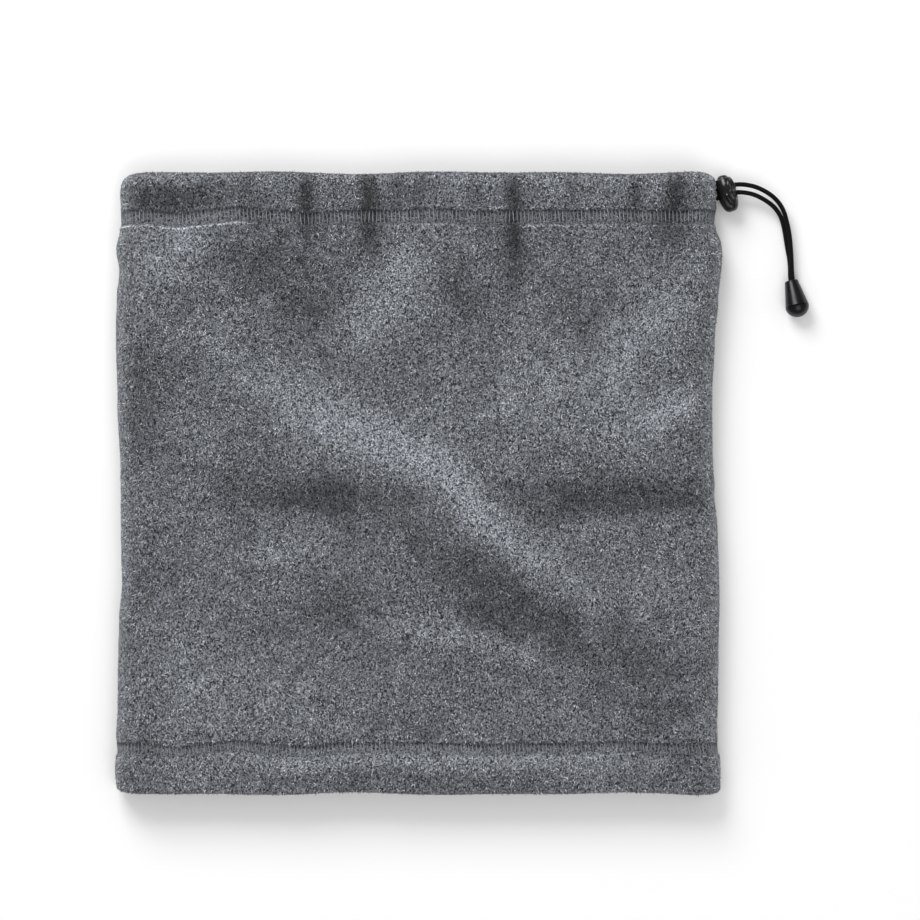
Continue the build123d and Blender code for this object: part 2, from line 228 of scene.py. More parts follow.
class Slot(Enum):
    """The material slots."""

    FLEECE = "fleece"
    THREAD = "thread"
    LABEL = "label"
    CORD = "cord"
    LOCK = "lock_plastic"
    BELL = "bell_plastic"
    SPRING = "spring_steel"


class Graph:
    """A material or group node tree that is easy to add to."""

    def __init__(self, tree: bpy.types.NodeTree) -> None:
        """Start from an empty tree."""
        self.tree = tree
        tree.nodes.clear()

    def node(self, kind: str, **values: object) -> bpy.types.Node:
        """Add a node and set its properties and sockets.

        Args:
            kind: the node's type name, without its ShaderNode prefix.
            values: properties by name, or input sockets by name with _ for spaces.

        Returns:
            The node.
        """
        made = self.tree.nodes.new(kind if kind.startswith("Node") else "ShaderNode" + kind)
        for name, value in values.items():
            if hasattr(made, name):
                setattr(made, name, value)
            else:
                made.inputs[name.replace("_", " ")].default_value = value
        return made

    def join(self, source: bpy.types.NodeSocket, target: bpy.types.NodeSocket) -> None:
        """Link an output to an input."""
        self.tree.links.new(source, target)

    def mix(self, factor: object, first: object, second: object) -> bpy.types.NodeSocket:
        """Mix two colours.

        Args:
            factor: a socket or number.
            first: a socket or colour, shown where factor is 0.
            second: a socket or colour, shown where factor is 1.

        Returns:
            The mixed colour's socket.
        """
        made = self.node("Mix", data_type="RGBA")
        for index, value in ((0, factor), (6, first), (7, second)):
            if isinstance(value, bpy.types.NodeSocket):
                self.join(value, made.inputs[index])
            else:
                made.inputs[index].default_value = value
        return made.outputs[2]

    def math(self, operation: str, first: object, second: object = 0.0) -> bpy.types.NodeSocket:
        """One sum on two numbers.

        Args:
            operation: the sum's name, as Blender spells it.
            first: a socket or number.
            second: a socket or number.

        Returns:
            The result's socket.
        """
        made = self.node("Math", operation=operation)
        for index, value in ((0, first), (1, second)):
            if isinstance(value, bpy.types.NodeSocket):
                self.join(value, made.inputs[index])
            else:
                made.inputs[index].default_value = value
        return made.outputs[0]

    def spread(self, value: bpy.types.NodeSocket, low: float, high: float) -> bpy.types.NodeSocket:
        """Stretch the range from low to high over 0 to 1.

        Args:
            value: the number's socket.
            low: what becomes 0.
            high: what becomes 1.

        Returns:
            The stretched number's socket.
        """
        made = self.node("MapRange", interpolation_type="SMOOTHSTEP")
        self.join(value, made.inputs["Value"])
        made.inputs["From Min"].default_value = low
        made.inputs["From Max"].default_value = high
        return made.outputs["Result"]

    def noise(self, place: bpy.types.NodeSocket, scale: float, detail: float) -> bpy.types.NodeSocket:
        """Fractal noise.

        Args:
            place: the coordinates' socket.
            scale: lumps per metre.
            detail: octaves.

        Returns:
            The noise's number socket.
        """
        made = self.node("TexNoise", Scale=scale, Detail=detail, Roughness=0.6)
        self.join(place, made.inputs["Vector"])
        return made.outputs["Fac"]


def open_group(name: str, inputs: dict[str, object], outputs: dict[str, str]) -> Graph:
    """Start a shader node group with named sockets.

    Args:
        name: the group's name.
        inputs: default by socket name; a tuple makes a colour socket, a number makes a number socket.
        outputs: socket type by name, Color or Float.

    Returns:
        The group's graph, with its input and output nodes as attributes.
    """
    tree = bpy.data.node_groups.new(name, "ShaderNodeTree")
    for label, default in inputs.items():
        kind = "NodeSocketColor" if isinstance(default, tuple) else "NodeSocketFloat"
        tree.interface.new_socket(name=label, in_out="INPUT", socket_type=kind).default_value = default
    for label, kind in outputs.items():
        tree.interface.new_socket(name=label, in_out="OUTPUT", socket_type="NodeSocket" + kind)
    graph = Graph(tree)
    graph.given = graph.node("NodeGroupInput").outputs
    graph.result = graph.node("NodeGroupOutput").inputs
    return graph


def pile_group() -> bpy.types.NodeTree:
    """Brushed fleece pile: mottled tufts in a dark and a light tone, with their height.

    Returns:
        The node group, with colour and height outputs.
    """
    graph = open_group(
        "brushed_pile",
        {"Dark": (0.05, 0.05, 0.06, 1.0), "Light": (0.3, 0.3, 0.32, 1.0), "Contrast": 1.0},
        {"Color": "Color", "Height": "Float"},
    )
    place = graph.node("TexCoord").outputs["Object"]
    stretched = graph.node("VectorMath", operation="MULTIPLY")
    graph.join(place, stretched.inputs[0])
    stretched.inputs[1].default_value = (1.0, 0.7, 1.0)
    tuft = graph.noise(stretched.outputs[0], 820.0, 1.0)
    fine = graph.noise(stretched.outputs[0], 1900.0, 1.0)
    tufts = graph.spread(tuft, 0.30, 0.70)
    specks = graph.spread(fine, 0.32, 0.68)
    blended = graph.math("ADD", graph.math("MULTIPLY", tufts, 0.35), graph.math("MULTIPLY", specks, 0.65))
    centred = graph.math("SUBTRACT", blended, 0.5)
    scaled = graph.math("MULTIPLY", centred, graph.given["Contrast"])
    level = graph.node("Math", operation="ADD", use_clamp=True)
    graph.join(scaled, level.inputs[0])
    level.inputs[1].default_value = 0.5
    graph.join(graph.mix(level.outputs[0], graph.given["Dark"], graph.given["Light"]), graph.result["Color"])
    graph.join(blended, graph.result["Height"])
    return graph.tree


def mould_group() -> bpy.types.NodeTree:
    """Moulded plastic: faint cloudiness, fine texture and small scuffs.

    Returns:
        The node group, with colour, roughness and height outputs.
    """
    graph = open_group(
        "moulded_skin",
        {"Base": (0.03, 0.03, 0.03, 1.0), "Worn": (0.08, 0.08, 0.08, 1.0), "Smooth": 0.3, "Rough": 0.5},
        {"Color": "Color", "Roughness": "Float", "Height": "Float"},
    )
    place = graph.node("TexCoord").outputs["Object"]
    cloud = graph.noise(place, 240.0, 3.0)
    grain = graph.noise(place, 3800.0, 2.0)
    scuff = graph.spread(graph.noise(place, 900.0, 5.0), 0.60, 0.74)
    graph.join(graph.mix(scuff, graph.given["Base"], graph.given["Worn"]), graph.result["Color"])
    gap = graph.math("SUBTRACT", graph.given["Rough"], graph.given["Smooth"])
    share = graph.math("MULTIPLY", gap, graph.spread(cloud, 0.3, 0.7))
    graph.join(graph.math("ADD", graph.given["Smooth"], share), graph.result["Roughness"])
    graph.join(graph.math("ADD", graph.math("MULTIPLY", grain, 0.7), cloud), graph.result["Height"])
    return graph.tree


@dataclass(frozen=True)
class Finish:
    """What every finish shares: a name, a slot and the shader's plain numbers."""

    name: str
    slot: Slot

    def start(self, **shader: float) -> tuple[bpy.types.Material, Graph, bpy.types.Node]:
        """Begin a material with a Principled shader joined to its output.

        Args:
            shader: numbers set directly on the shader's sockets, with _ for spaces.

        Returns:
            The material, its graph and the shader node.
        """
        material = bpy.data.materials.new(self.name)
        material.use_nodes = True
        graph = Graph(material.node_tree)
        shell = graph.node("BsdfPrincipled", **shader)
        out = graph.node("OutputMaterial")
        graph.join(shell.outputs[0], out.inputs["Surface"])
        return material, graph, shell

    def bump(
        self, graph: Graph, shell: bpy.types.Node, height: object, depth: float, strength: float
    ) -> None:
        """Feed a height through a bump node into the shader's normal.

        Args:
            graph: the material's graph.
            shell: the Principled node.
            height: the height's socket.
            depth: the relief's depth, in metres.
            strength: how much of it shows, from 0 to 1.
        """
        made = graph.node("Bump", Strength=strength, Distance=depth)
        graph.join(height, made.inputs["Height"])
        graph.join(made.outputs["Normal"], shell.inputs["Normal"])

    def build(self) -> bpy.types.Material:
        """Make the material."""
        raise NotImplementedError

    def put_on(self, piece: bpy.types.Object, material: bpy.types.Material) -> None:
        """Give a piece this finish in place of any it has.

        Args:
            piece: the mesh object.
            material: this finish's material.
        """
        if piece.data.materials:
            for index in range(len(piece.data.materials)):
                piece.data.materials[index] = material
        else:
            piece.data.materials.append(material)


@dataclass(frozen=True)
class FleeceFinish(Finish):
    """Brushed heather fleece."""

    dark: tuple[float, float, float, float] = (0.012, 0.014, 0.018, 1.0)
    light: tuple[float, float, float, float] = (0.250, 0.266, 0.292, 1.0)
    contrast: float = 1.55
    relief: float = 0.9 * MM
    shade_name: str = "shade"

    def build(self) -> bpy.types.Material:
        """Make the material: mottled pile under painted light and shade, with painted shade where the cloth
        folds in, and a soft sheen.
        """
        material, graph, shell = self.start(
            Roughness=0.95, Sheen_Weight=0.22, Sheen_Roughness=0.5, Specular_IOR_Level=0.1
        )
        pile = graph.node("Group", node_tree=bpy.data.node_groups["brushed_pile"], Contrast=self.contrast)
        pile.inputs["Dark"].default_value = self.dark
        pile.inputs["Light"].default_value = self.light
        shade = graph.node("VertexColor", layer_name=self.shade_name)
        tinted = graph.node("Mix", data_type="RGBA", blend_type="MULTIPLY")
        tinted.inputs[0].default_value = 1.0
        graph.join(pile.outputs["Color"], tinted.inputs[6])
        graph.join(shade.outputs["Color"], tinted.inputs[7])
        graph.join(tinted.outputs[2], shell.inputs["Base Color"])
        self.bump(graph, shell, pile.outputs["Height"], self.relief, 0.9)
        return material


@dataclass(frozen=True)
class FibreFinish(Finish):
    """The loose fibre ends that stand out of the pile, each with its own random tone times the cloth's
    painted light and shade.
    """

    dark: tuple[float, float, float, float] = (0.016, 0.018, 0.022, 1.0)
    light: tuple[float, float, float, float] = (0.84, 0.87, 0.92, 1.0)
    tone_name: str = "tone"

    def build(self) -> bpy.types.Material:
        """Make the material."""
        material, graph, shell = self.start(
            Roughness=0.9, Sheen_Weight=0.1, Sheen_Roughness=0.5, Specular_IOR_Level=0.15
        )
        tone = graph.node("VertexColor", layer_name=self.tone_name)
        split = graph.node("SeparateColor")
        graph.join(tone.outputs["Color"], split.inputs[0])
        graph.join(graph.mix(split.outputs[0], self.dark, self.light), shell.inputs["Base Color"])
        return material


@dataclass(frozen=True)
class ThreadFinish(Finish):
    """Spun sewing thread: a fine twist along each stitch."""

    dark: tuple[float, float, float, float] = (0.04, 0.044, 0.052, 1.0)
    light: tuple[float, float, float, float] = (0.46, 0.485, 0.53, 1.0)
    tone_name: str = "tone"

    def build(self) -> bpy.types.Material:
        """Make the material."""
        material, graph, shell = self.start(Roughness=0.7, Sheen_Weight=0.2, Specular_IOR_Level=0.3)
        place = graph.node("TexCoord").outputs["Object"]
        twist = graph.node("TexWave", Scale=900.0, Distortion=2.0, Detail=1.0)
        graph.join(place, twist.inputs["Vector"])
        fuzz = graph.noise(place, 1400.0, 2.0)
        tone = graph.math("MULTIPLY", graph.math("ADD", twist.outputs["Fac"], fuzz), 0.5)
        # The tone attribute: a random tone for each stitch, with painted shade towards the bar ends.
        stitch = graph.node("VertexColor", layer_name=self.tone_name)
        split = graph.node("SeparateColor")
        graph.join(stitch.outputs["Color"], split.inputs[0])
        level = graph.math("MULTIPLY", tone, split.outputs[0])
        graph.join(graph.mix(level, self.dark, self.light), shell.inputs["Base Color"])
        self.bump(graph, shell, tone, 0.12 * MM, 0.8)
        return material


@dataclass(frozen=True)
class CordFinish(Finish):
    """Braided elastic sheath; the braid itself is in the mesh."""

    dark: tuple[float, float, float, float] = (0.0012, 0.0012, 0.0014, 1.0)
    light: tuple[float, float, float, float] = (0.0075, 0.0075, 0.008, 1.0)
    tone_name: str = "tone"

    def build(self) -> bpy.types.Material:
        """Make the material."""
        material, graph, shell = self.start(
            Roughness=0.62, Sheen_Weight=0.02, Sheen_Roughness=0.4, Specular_IOR_Level=0.1
        )
        place = graph.node("TexCoord").outputs["Object"]
        fuzz = graph.noise(place, 2600.0, 2.0)
        # The tone attribute is painted shade in the braid's dips.
        tone = graph.node("VertexColor", layer_name=self.tone_name)
        split = graph.node("SeparateColor")
        graph.join(tone.outputs["Color"], split.inputs[0])
        braid = graph.math("MULTIPLY", split.outputs[0], 0.7)
        level = graph.math("ADD", braid, graph.math("MULTIPLY", fuzz, 0.4))
        graph.join(graph.mix(level, self.dark, self.light), shell.inputs["Base Color"])
        self.bump(graph, shell, fuzz, 0.05 * MM, 0.6)
        return material


@dataclass(frozen=True)
class PlasticFinish(Finish):
    """Moulded black plastic, satin or glossy."""

    base: tuple[float, float, float, float] = (0.0045, 0.0045, 0.005, 1.0)
    worn: tuple[float, float, float, float] = (0.016, 0.016, 0.018, 1.0)
    smooth: float = 0.22
    rough: float = 0.36
    coat: float = 0.0
    relief: float = 0.03 * MM
    shine: float = 0.6

    def build(self) -> bpy.types.Material:
        """Make the material."""
        material, graph, shell = self.start(
            Coat_Weight=self.coat, Coat_Roughness=0.12, Specular_IOR_Level=self.shine
        )
        group = bpy.data.node_groups["moulded_skin"]
        skin = graph.node("Group", node_tree=group, Smooth=self.smooth, Rough=self.rough)
        skin.inputs["Base"].default_value = self.base
        skin.inputs["Worn"].default_value = self.worn
        graph.join(skin.outputs["Color"], shell.inputs["Base Color"])
        graph.join(skin.outputs["Roughness"], shell.inputs["Roughness"])
        self.bump(graph, shell, skin.outputs["Height"], self.relief, 0.5)
        return material


@dataclass(frozen=True)
class SteelFinish(Finish):
    """Drawn spring wire."""

    def build(self) -> bpy.types.Material:
        """Make the material."""
        material, graph, shell = self.start(Metallic=1.0)
        place = graph.node("TexCoord").outputs["Object"]
        drawn = graph.noise(place, 4000.0, 3.0)
        tint = graph.mix(drawn, (0.42, 0.42, 0.43, 1.0), (0.68, 0.68, 0.67, 1.0))
        graph.join(tint, shell.inputs["Base Color"])
        graph.join(graph.math("ADD", graph.math("MULTIPLY", drawn, 0.2), 0.25), shell.inputs["Roughness"])
        return material


@dataclass(frozen=True)
class LabelFinish(Finish):
    """Blank woven satin tape."""

    dark: tuple[float, float, float, float] = (0.60, 0.60, 0.58, 1.0)
    light: tuple[float, float, float, float] = (0.80, 0.80, 0.78, 1.0)

    def build(self) -> bpy.types.Material:
        """Make the material."""
        material, graph, shell = self.start(Roughness=0.45, Sheen_Weight=0.15)
        place = graph.node("TexCoord").outputs["Object"]
        ribs = graph.node("TexWave", Scale=1200.0, Distortion=0.3, bands_direction="Y")
        graph.join(place, ribs.inputs["Vector"])
        cloth = graph.noise(place, 300.0, 3.0)
        ribbed = graph.math("MULTIPLY", ribs.outputs["Fac"], 0.4)
        tone = graph.math("ADD", ribbed, graph.math("MULTIPLY", cloth, 0.6))
        graph.join(graph.mix(tone, self.dark, self.light), shell.inputs["Base Color"])
        self.bump(graph, shell, ribs.outputs["Fac"], 0.05 * MM, 0.6)
        return material


class Wardrobe:
    """Every finish of the gaiter, built once."""

    def __init__(self) -> None:
        """Build the shared groups and the materials."""
        pile_group()
        mould_group()
        self.finishes: dict[str, Finish] = {
            "fleece": FleeceFinish("heather_fleece", Slot.FLEECE),
            "fibre": FibreFinish("loose_fibre", Slot.FLEECE),
            "thread": ThreadFinish("sewing_thread", Slot.THREAD),
            "cord": CordFinish("braided_elastic", Slot.CORD),
            "lock": PlasticFinish("satin_black_plastic", Slot.LOCK),
            "bell": PlasticFinish(
                "gloss_black_plastic",
                Slot.BELL,
                base=(0.003, 0.003, 0.0055, 1.0),
                worn=(0.006, 0.006, 0.010, 1.0),
                smooth=0.3,
                rough=0.42,
                coat=0.1,
                relief=0.006 * MM,
                shine=0.32,
            ),
            "spring": SteelFinish("spring_wire", Slot.SPRING),
            "label": LabelFinish("blank_satin_tape", Slot.LABEL),
        }
        self.materials = {key: finish.build() for key, finish in self.finishes.items()}

    def dress(self, piece: bpy.types.Object, key: str, own: bool = True) -> None:
        """Put a finish on a piece.

        Args:
            piece: the mesh object.
            key: which finish.
            own: False for a node of the frame; not used.
        """
        self.finishes[key].put_on(piece, self.materials[key])


# ------------------------------------------------------------------ the cloth's shape


@dataclass(frozen=True)
class Fold:
    """A soft ridge, or a hollow if its rise is below 0, along a bent line on the front of the cloth."""

    rise: float
    reach: float
    route: tuple[tuple[float, float], ...]
    fade: float = 0.3

    def height(self, x: Array, y: Array) -> Array:
        """How far the fold lifts the cloth, dying away at both ends.

        Args:
            x: places across, in metres.
            y: places up the neck, in metres.

        Returns:
            The lift at each place, in metres.
        """
        stops = np.array(self.route) * MM
        steps = np.linalg.norm(np.diff(stops, axis=0), axis=1)
        run = np.concatenate([[0], np.cumsum(steps)]) / steps.sum()
        nearest = np.full(len(x), np.inf)
        along = np.zeros(len(x))
        for index, (start, end) in enumerate(zip(stops[:-1], stops[1:])):
            way = end - start
            share = np.clip(((x - start[0]) * way[0] + (y - start[1]) * way[1]) / (way @ way), 0.0, 1.0)
            gap = np.hypot(x - start[0] - share * way[0], y - start[1] - share * way[1])
            closer = gap < nearest
            nearest = np.where(closer, gap, nearest)
            along = np.where(closer, run[index] + share * (run[index + 1] - run[index]), along)
        ends = 0.35 + 0.65 * smooth(np.minimum(along, 1 - along) / self.fade)
        return self.rise * MM * ends * np.exp(-((nearest / (self.reach * MM)) ** 2))


@dataclass(frozen=True)
class Gather:
    """A crease where the drawcord bunches the top hem: its place along the hem, lean, reach and depth."""

    across: float
    lean: float
    length: float
    reach: float
    depth: float

    def share(self, x: Array, y: Array) -> Array:
        """How much of the crease each place has.

        Args:
            x: places across, in metres.
            y: places up the neck, in metres.

        Returns:
            A number from 0 to 1 for each place.
        """
        below = (TOP_Y - y) / MM
        line = self.across + self.lean * below / 100
        widen = self.reach * (1 + 0.5 * below / self.length)
        across = np.exp(-(((x / MM - line) / widen) ** 2))
        return across * (1 - smooth((below - 0.45 * self.length) / (0.75 * self.length)))


@dataclass
class ClothShape:
    """The lying tube's surface, which every sewn piece follows.

    A place on it is given by how far round the tube it is (0 to 1, starting at the left end of the flat
    underside and running right, up the right-hand fold, back over the front and down the left-hand fold),
    by its height up the neck, and by how far it lies inside the outer face.
    """

    low_radius: float = EXIT_Z
    fleece: float = 1.8 * MM
    channel: float = 2.4 * MM
    taper_length: float = 14.0 * MM
    hem_allowance: float = 1.0 * MM
    stitch_sink: float = 0.55 * MM
    hem_swell: float = 0.45 * MM
    top_corner: float = 5.0 * MM
    bottom_corner: float = 2.8 * MM
    lump: float = 0.16 * MM
    fold_wrap: float = 125.0
    # The pile's painted light and shade: lighter per millimetre of lift, lighter on slopes facing the key
    # lamp, the slope read over a short reach towards the lamp.
    painted_ridge_light: float = 0.38
    painted_slope_light: float = 1.2
    painted_light_reach: float = 2.0 * MM
    toward_key_lamp: tuple[float, float] = (0.1, 0.99)
    hem_tucks: tuple[tuple[float, float], ...] = ((-104, -1.7), (-78, 1.0), (-46, -0.9))
    tuck_reach: float = 9.0
    lit_left_of: float = -66.0
    lit_about: float = 56.0
    folds: tuple[Fold, ...] = (
        Fold(2.2, 13, ((-84, 52), (-62, 36), (-40, 24), (-12, 13), (8, 3), (22, -10)), 0.45),
        Fold(2.2, 8.5, ((-10, 14), (12, 1), (26, -16), (40, -29), (58, -42), (72, -52)), 0.5),
        Fold(1.6, 10, ((-120, 80), (-108, 94), (-88, 110))),
        Fold(1.5, 12, ((-34, 46), (-16, 76), (6, 106))),
        Fold(1.6, 14, ((66, 28), (94, 56), (120, 88))),
        Fold(1.8, 9, ((90, 20), (104, 27), (126, 36))),
        Fold(1.0, 26, ((30, 42), (62, 28))),
        Fold(0.9, 6, ((-16, -63), (30, -70), (66, -83))),
        Fold(0.8, 20, ((-112, -88), (-70, -100), (-20, -90))),
        Fold(0.8, 6, ((-76, -36), (-58, -32), (-42, -27))),
        Fold(0.5, 16, ((-112, -24), (-104, 8))),
        Fold(1.2, 6, ((-96, -121), (0, -120), (100, -122)), 0.3),
        Fold(-1.5, 9, ((-80, -4), (-52, -8), (-30, -9), (-6, -7)), 0.5),
        Fold(-1.3, 10, ((34, -8), (60, -10), (94, -9), (140, -7)), 0.3),
        Fold(-1.2, 15, ((-12, -24), (8, -34), (32, -52), (56, -68), (82, -80)), 0.3),
        Fold(-1.1, 21, ((-80, 106), (-56, 84), (-36, 62)), 0.3),
        Fold(-0.8, 15, ((-124, 62), (-118, 30), (-122, -6))),
        Fold(-0.8, 11, ((10, 92), (24, 62))),
        Fold(-1.3, 7, ((-126, 121), (-106, 120), (-84, 121))),
        Fold(-0.7, 16, ((88, -66), (116, -108))),
        Fold(-0.7, 13, ((-124, -34), (-106, -52))),
        Fold(-0.6, 13, ((58, 82), (78, 62))),
        Fold(-0.6, 12, ((-60, -60), (-20, -56))),
        Fold(0.6, 14, ((96, -34), (112, -52))),
    )
    gathers: tuple[Gather, ...] = (
        Gather(-48, 0, 32, 3.2, 1.0),
        Gather(-22, 6, 46, 4.6, 1.45),
        Gather(1, 0, 18, 2.6, 0.55),
        Gather(41, 0, 58, 3.4, 1.4),
        Gather(65, 4, 20, 2.6, 0.6),
        Gather(93, 0, 24, 2.8, 0.75),
        Gather(111, -14, 36, 5.0, 1.35),
        Gather(-74, 4, 16, 3.0, 0.45),
        Gather(-9, 0, 20, 2.6, 0.45),
        Gather(24, 0, 18, 2.8, 0.4),
    )
    right_edge: list[tuple[float, float]] = field(
        default_factory=lambda: [
            (134, 0.2),
            (120, 0.5),
            (110, 0.2),
            (104, 1.3),
            (95, 0.8),
            (79, -0.9),
            (62, -2.6),
            (40, -3.3),
            (16, -3.2),
            (-4, -2.4),
            (-22, -1.2),
            (-50, -0.5),
            (-84, -0.9),
            (-108, -1.5),
            (-120, 0.0),
            (-134, 0.3),
        ]
    )
    left_edge: list[tuple[float, float]] = field(
        default_factory=lambda: [
            (134, 0.5),
            (118, 0.9),
            (110, 1.2),
            (103, 1.2),
            (92, -0.8),
            (80, 0.4),
            (62, 0.8),
            (38, 0.2),
            (8, -0.9),
            (-20, -1.3),
            (-42, -1.8),
            (-62, -0.5),
            (-88, 0.0),
            (-110, 0.3),
            (-124, 0.8),
            (-134, 0.6),
        ]
    )

    def outer_run(self, share: Array) -> tuple[Array, Array, Array]:
        """Places spread evenly up the outer face, from round the bottom fold to round the top fold.

        Args:
            share: how far along each is, from 0 to 1.

        Returns:
            Height, inset and the outward direction's turn towards +Y, in radians.
        """
        top, bottom = self.fleece + self.channel / 2, self.fleece
        wrap = math.radians(self.fold_wrap)
        flat = 2 * TOP_Y - top - bottom
        run = share * (bottom * wrap + flat + top * wrap)
        low_turn = np.clip(wrap - run / bottom, 0, wrap)
        high_turn = np.clip((run - bottom * wrap - flat) / top, 0, wrap)
        flat_y = np.clip(run - bottom * wrap, 0, flat) - TOP_Y + bottom
        y = flat_y - bottom * np.sin(low_turn) + top * np.sin(high_turn)
        inset = bottom * (1 - np.cos(low_turn)) + top * (1 - np.cos(high_turn))
        return y, inset, high_turn - low_turn

    def half_width(self, y: Array) -> Array:
        """Half the tube's width at height y, before the edges' own wander."""
        top = TOP_ROW_LOW[1] - self.hem_allowance
        share = smooth((y - (top - self.taper_length)) / self.taper_length)
        return BODY_HALF_WIDTH + (HEM_HALF_WIDTH - BODY_HALF_WIDTH) * share

    def girth(self) -> float:
        """Distance round the body's outer face."""
        low, high = self.low_radius, LYING_HEIGHT - self.low_radius
        return 2 * (2 * BODY_HALF_WIDTH - low - high) + math.pi * (low + high)

    def outline(self, around: Array, half: Array, inset: Array) -> tuple[Array, Array, Array, Array]:
        """The plain section's place and outward direction.

        Args:
            around: how far round, from 0 to 1.
            half: half the width there, in metres.
            inset: how far inside the outer face, in metres.

        Returns:
            x, z and the outward direction's x and z.
        """
        low, high = self.low_radius, LYING_HEIGHT - self.low_radius
        flat_low = 2 * (BODY_HALF_WIDTH - low)
        flat_high = 2 * (BODY_HALF_WIDTH - high)
        arc_low, arc_high = low * math.pi / 2, high * math.pi / 2
        marks = np.cumsum([0, flat_low, arc_low, arc_high, flat_high, arc_high, arc_low])
        run = (around % 1.0) * marks[-1]
        part = np.clip(np.searchsorted(marks, run, side="right") - 1, 0, 5)
        share = (run - marks[part]) / (marks[part + 1] - marks[part])
        turn = np.select(
            [part == 0, part == 1, part == 2, part == 3, part == 4, part == 5],
            [-90.0, -90 + 90 * share, 90 * share, 90.0, 90 + 90 * share, 180 + 90 * share],
        )
        nx, nz = np.cos(np.radians(turn)), np.sin(np.radians(turn))
        big = (part >= 2) & (part <= 4)
        radius = np.where(big, high, low)
        sign = np.where((part == 1) | (part == 2), 1.0, -1.0)
        flat_share = np.where(part == 0, 2 * share - 1, 1 - 2 * share)
        centre = np.where((part == 0) | (part == 3), flat_share * (half - radius), sign * (half - radius))
        return centre + nx * (radius - inset), low + nz * (radius - inset), nx, nz

    def crease(self, x: Array, y: Array) -> tuple[Array, Array]:
        """Depth of the top hem's creases, and the painted shade in them.

        Args:
            x: places across, in metres.
            y: places up the neck, in metres.

        Returns:
            Depth in metres, and darkness from 0 to 1.
        """
        depth = np.zeros(len(x))
        dark = np.zeros(len(x))
        for gather in self.gathers:
            share = gather.share(x, y)
            depth += gather.depth * MM * share
            dark = np.maximum(dark, share * min(1.0, gather.depth))
        return depth, dark

    def lift(self, x: Array, y: Array) -> Array:
        """How far the folds lift the front, in metres."""
        return sum(fold.height(x, y) for fold in self.folds)

    def painted_light_and_mottle(self, x: Array, y: Array) -> Array:
        """Painted light and shade on the brushed pile: lighter on ridges and on slopes that face the key
        lamp, darker in hollows, under a random mottle.

        Args:
            x: places across, in metres.
            y: places up the neck, in metres.

        Returns:
            A factor for each place, 1 where the cloth is flat.
        """
        # Painted light on ridges and on slopes facing the key lamp, painted shade in hollows; the drift is a
        # random mottle.
        here = self.lift(x, y)
        ahead = self.lift(x + self.toward_key_lamp[0] * self.painted_light_reach, y + self.toward_key_lamp[1] * self.painted_light_reach)
        slope = (here - ahead) / self.painted_light_reach
        spots = np.stack([x, y, np.zeros(len(x))], axis=1)
        drift = 0.12 * soft_noise(spots, 26 * MM, 21) + 0.12 * soft_noise(spots, 8 * MM, 22)
        drift = drift + 0.16 * soft_noise(spots, 3.4 * MM, 23)
        return np.clip(1 + self.painted_ridge_light * here / MM + self.painted_slope_light * slope + drift, 0.42, 1.95)

    def hem_wave(self, x: Array) -> Array:
        """How far the sewing wanders up and down across the front."""
        wave = 0.3 * np.sin(x / (14 * MM) + 2.0) + 0.2 * np.sin(x / (6.3 * MM) + 0.4)
        for place, rise in self.hem_tucks:
            wave = wave + rise * np.exp(-(((x / MM - place) / self.tuck_reach) ** 2))
        return wave * MM

    def row_share(self, y: Array, low: float, high: float, soft: float) -> Array:
        """How far inside a stitch row's band each height is, eased over soft at both edges."""
        return smooth((y - low + soft) / soft) * smooth((high + soft - y) / soft)

    def sewing_light_and_shade(self, x: Array, y: Array) -> Array:
        """Painted light and shade on the cloth at the sewing: painted shade in the needle holes above and
        over the rungs' band, a painted highlight on the fold below.

        Args:
            x: places across, in metres.
            y: places up the neck, in metres.

        Returns:
            A factor for each place.
        """
        spots = np.stack([x, y * 0, y * 0], axis=1)
        tone = np.ones(len(y))
        for low, high in ((TOP_ROW_LOW[1], TOP_ROW_HIGH[1]), (BOTTOM_ROW_LOW[1], BOTTOM_ROW_HIGH[1])):
            # Painted shade over each row's band and in the line of needle holes along its upper edge.
            tone *= 1 - 0.24 * self.row_share(y, low, high, 0.5 * MM)
            tone *= 1 - 0.6 * np.exp(-(((y - high + 0.3 * MM) / (0.7 * MM)) ** 2))
        # Painted highlight on the fold below the top row, in lit stretches.
        lit = 0.35 * smooth((soft_noise(spots, 16 * MM, 31) + 0.35) / 0.6)
        lit = lit + smooth((self.lit_left_of - x / MM) / 10)
        lit = lit + 0.7 * np.exp(-(((x / MM - self.lit_about) / 12) ** 2))
        tone *= 1 + 1.5 * lit * np.exp(-(((y - TOP_ROW_LOW[1] + 0.9 * MM) / (0.38 * MM)) ** 2))
        return tone

    def sink(self, y: Array) -> Array:
        """How far the sewing pulls the cloth in, less how far the doubled hems swell out."""
        top = self.row_share(y, TOP_ROW_LOW[1], TOP_ROW_HIGH[1], 0.9 * MM)
        bottom = self.row_share(y, BOTTOM_ROW_LOW[1], BOTTOM_ROW_HIGH[1], 0.9 * MM)
        swell = np.exp(-(((y - (TOP_Y + TOP_ROW_HIGH[1]) / 2) / (5 * MM)) ** 2))
        puff = np.exp(-(((y - (TOP_ROW_LOW[1] - 7 * MM)) / (4 * MM)) ** 2))
        puff += np.exp(-(((y - (BOTTOM_ROW_HIGH[1] + 5 * MM)) / (4 * MM)) ** 2))
        puff += np.exp(-(((y - (BOTTOM_ROW_LOW[1] - 6 * MM)) / (4 * MM)) ** 2))
        fold = np.exp(-(((y - TOP_ROW_LOW[1] + 0.9 * MM) / (0.7 * MM)) ** 2))
        return self.stitch_sink * np.maximum(top, bottom) - self.hem_swell * swell - 0.3 * MM * (puff + fold)

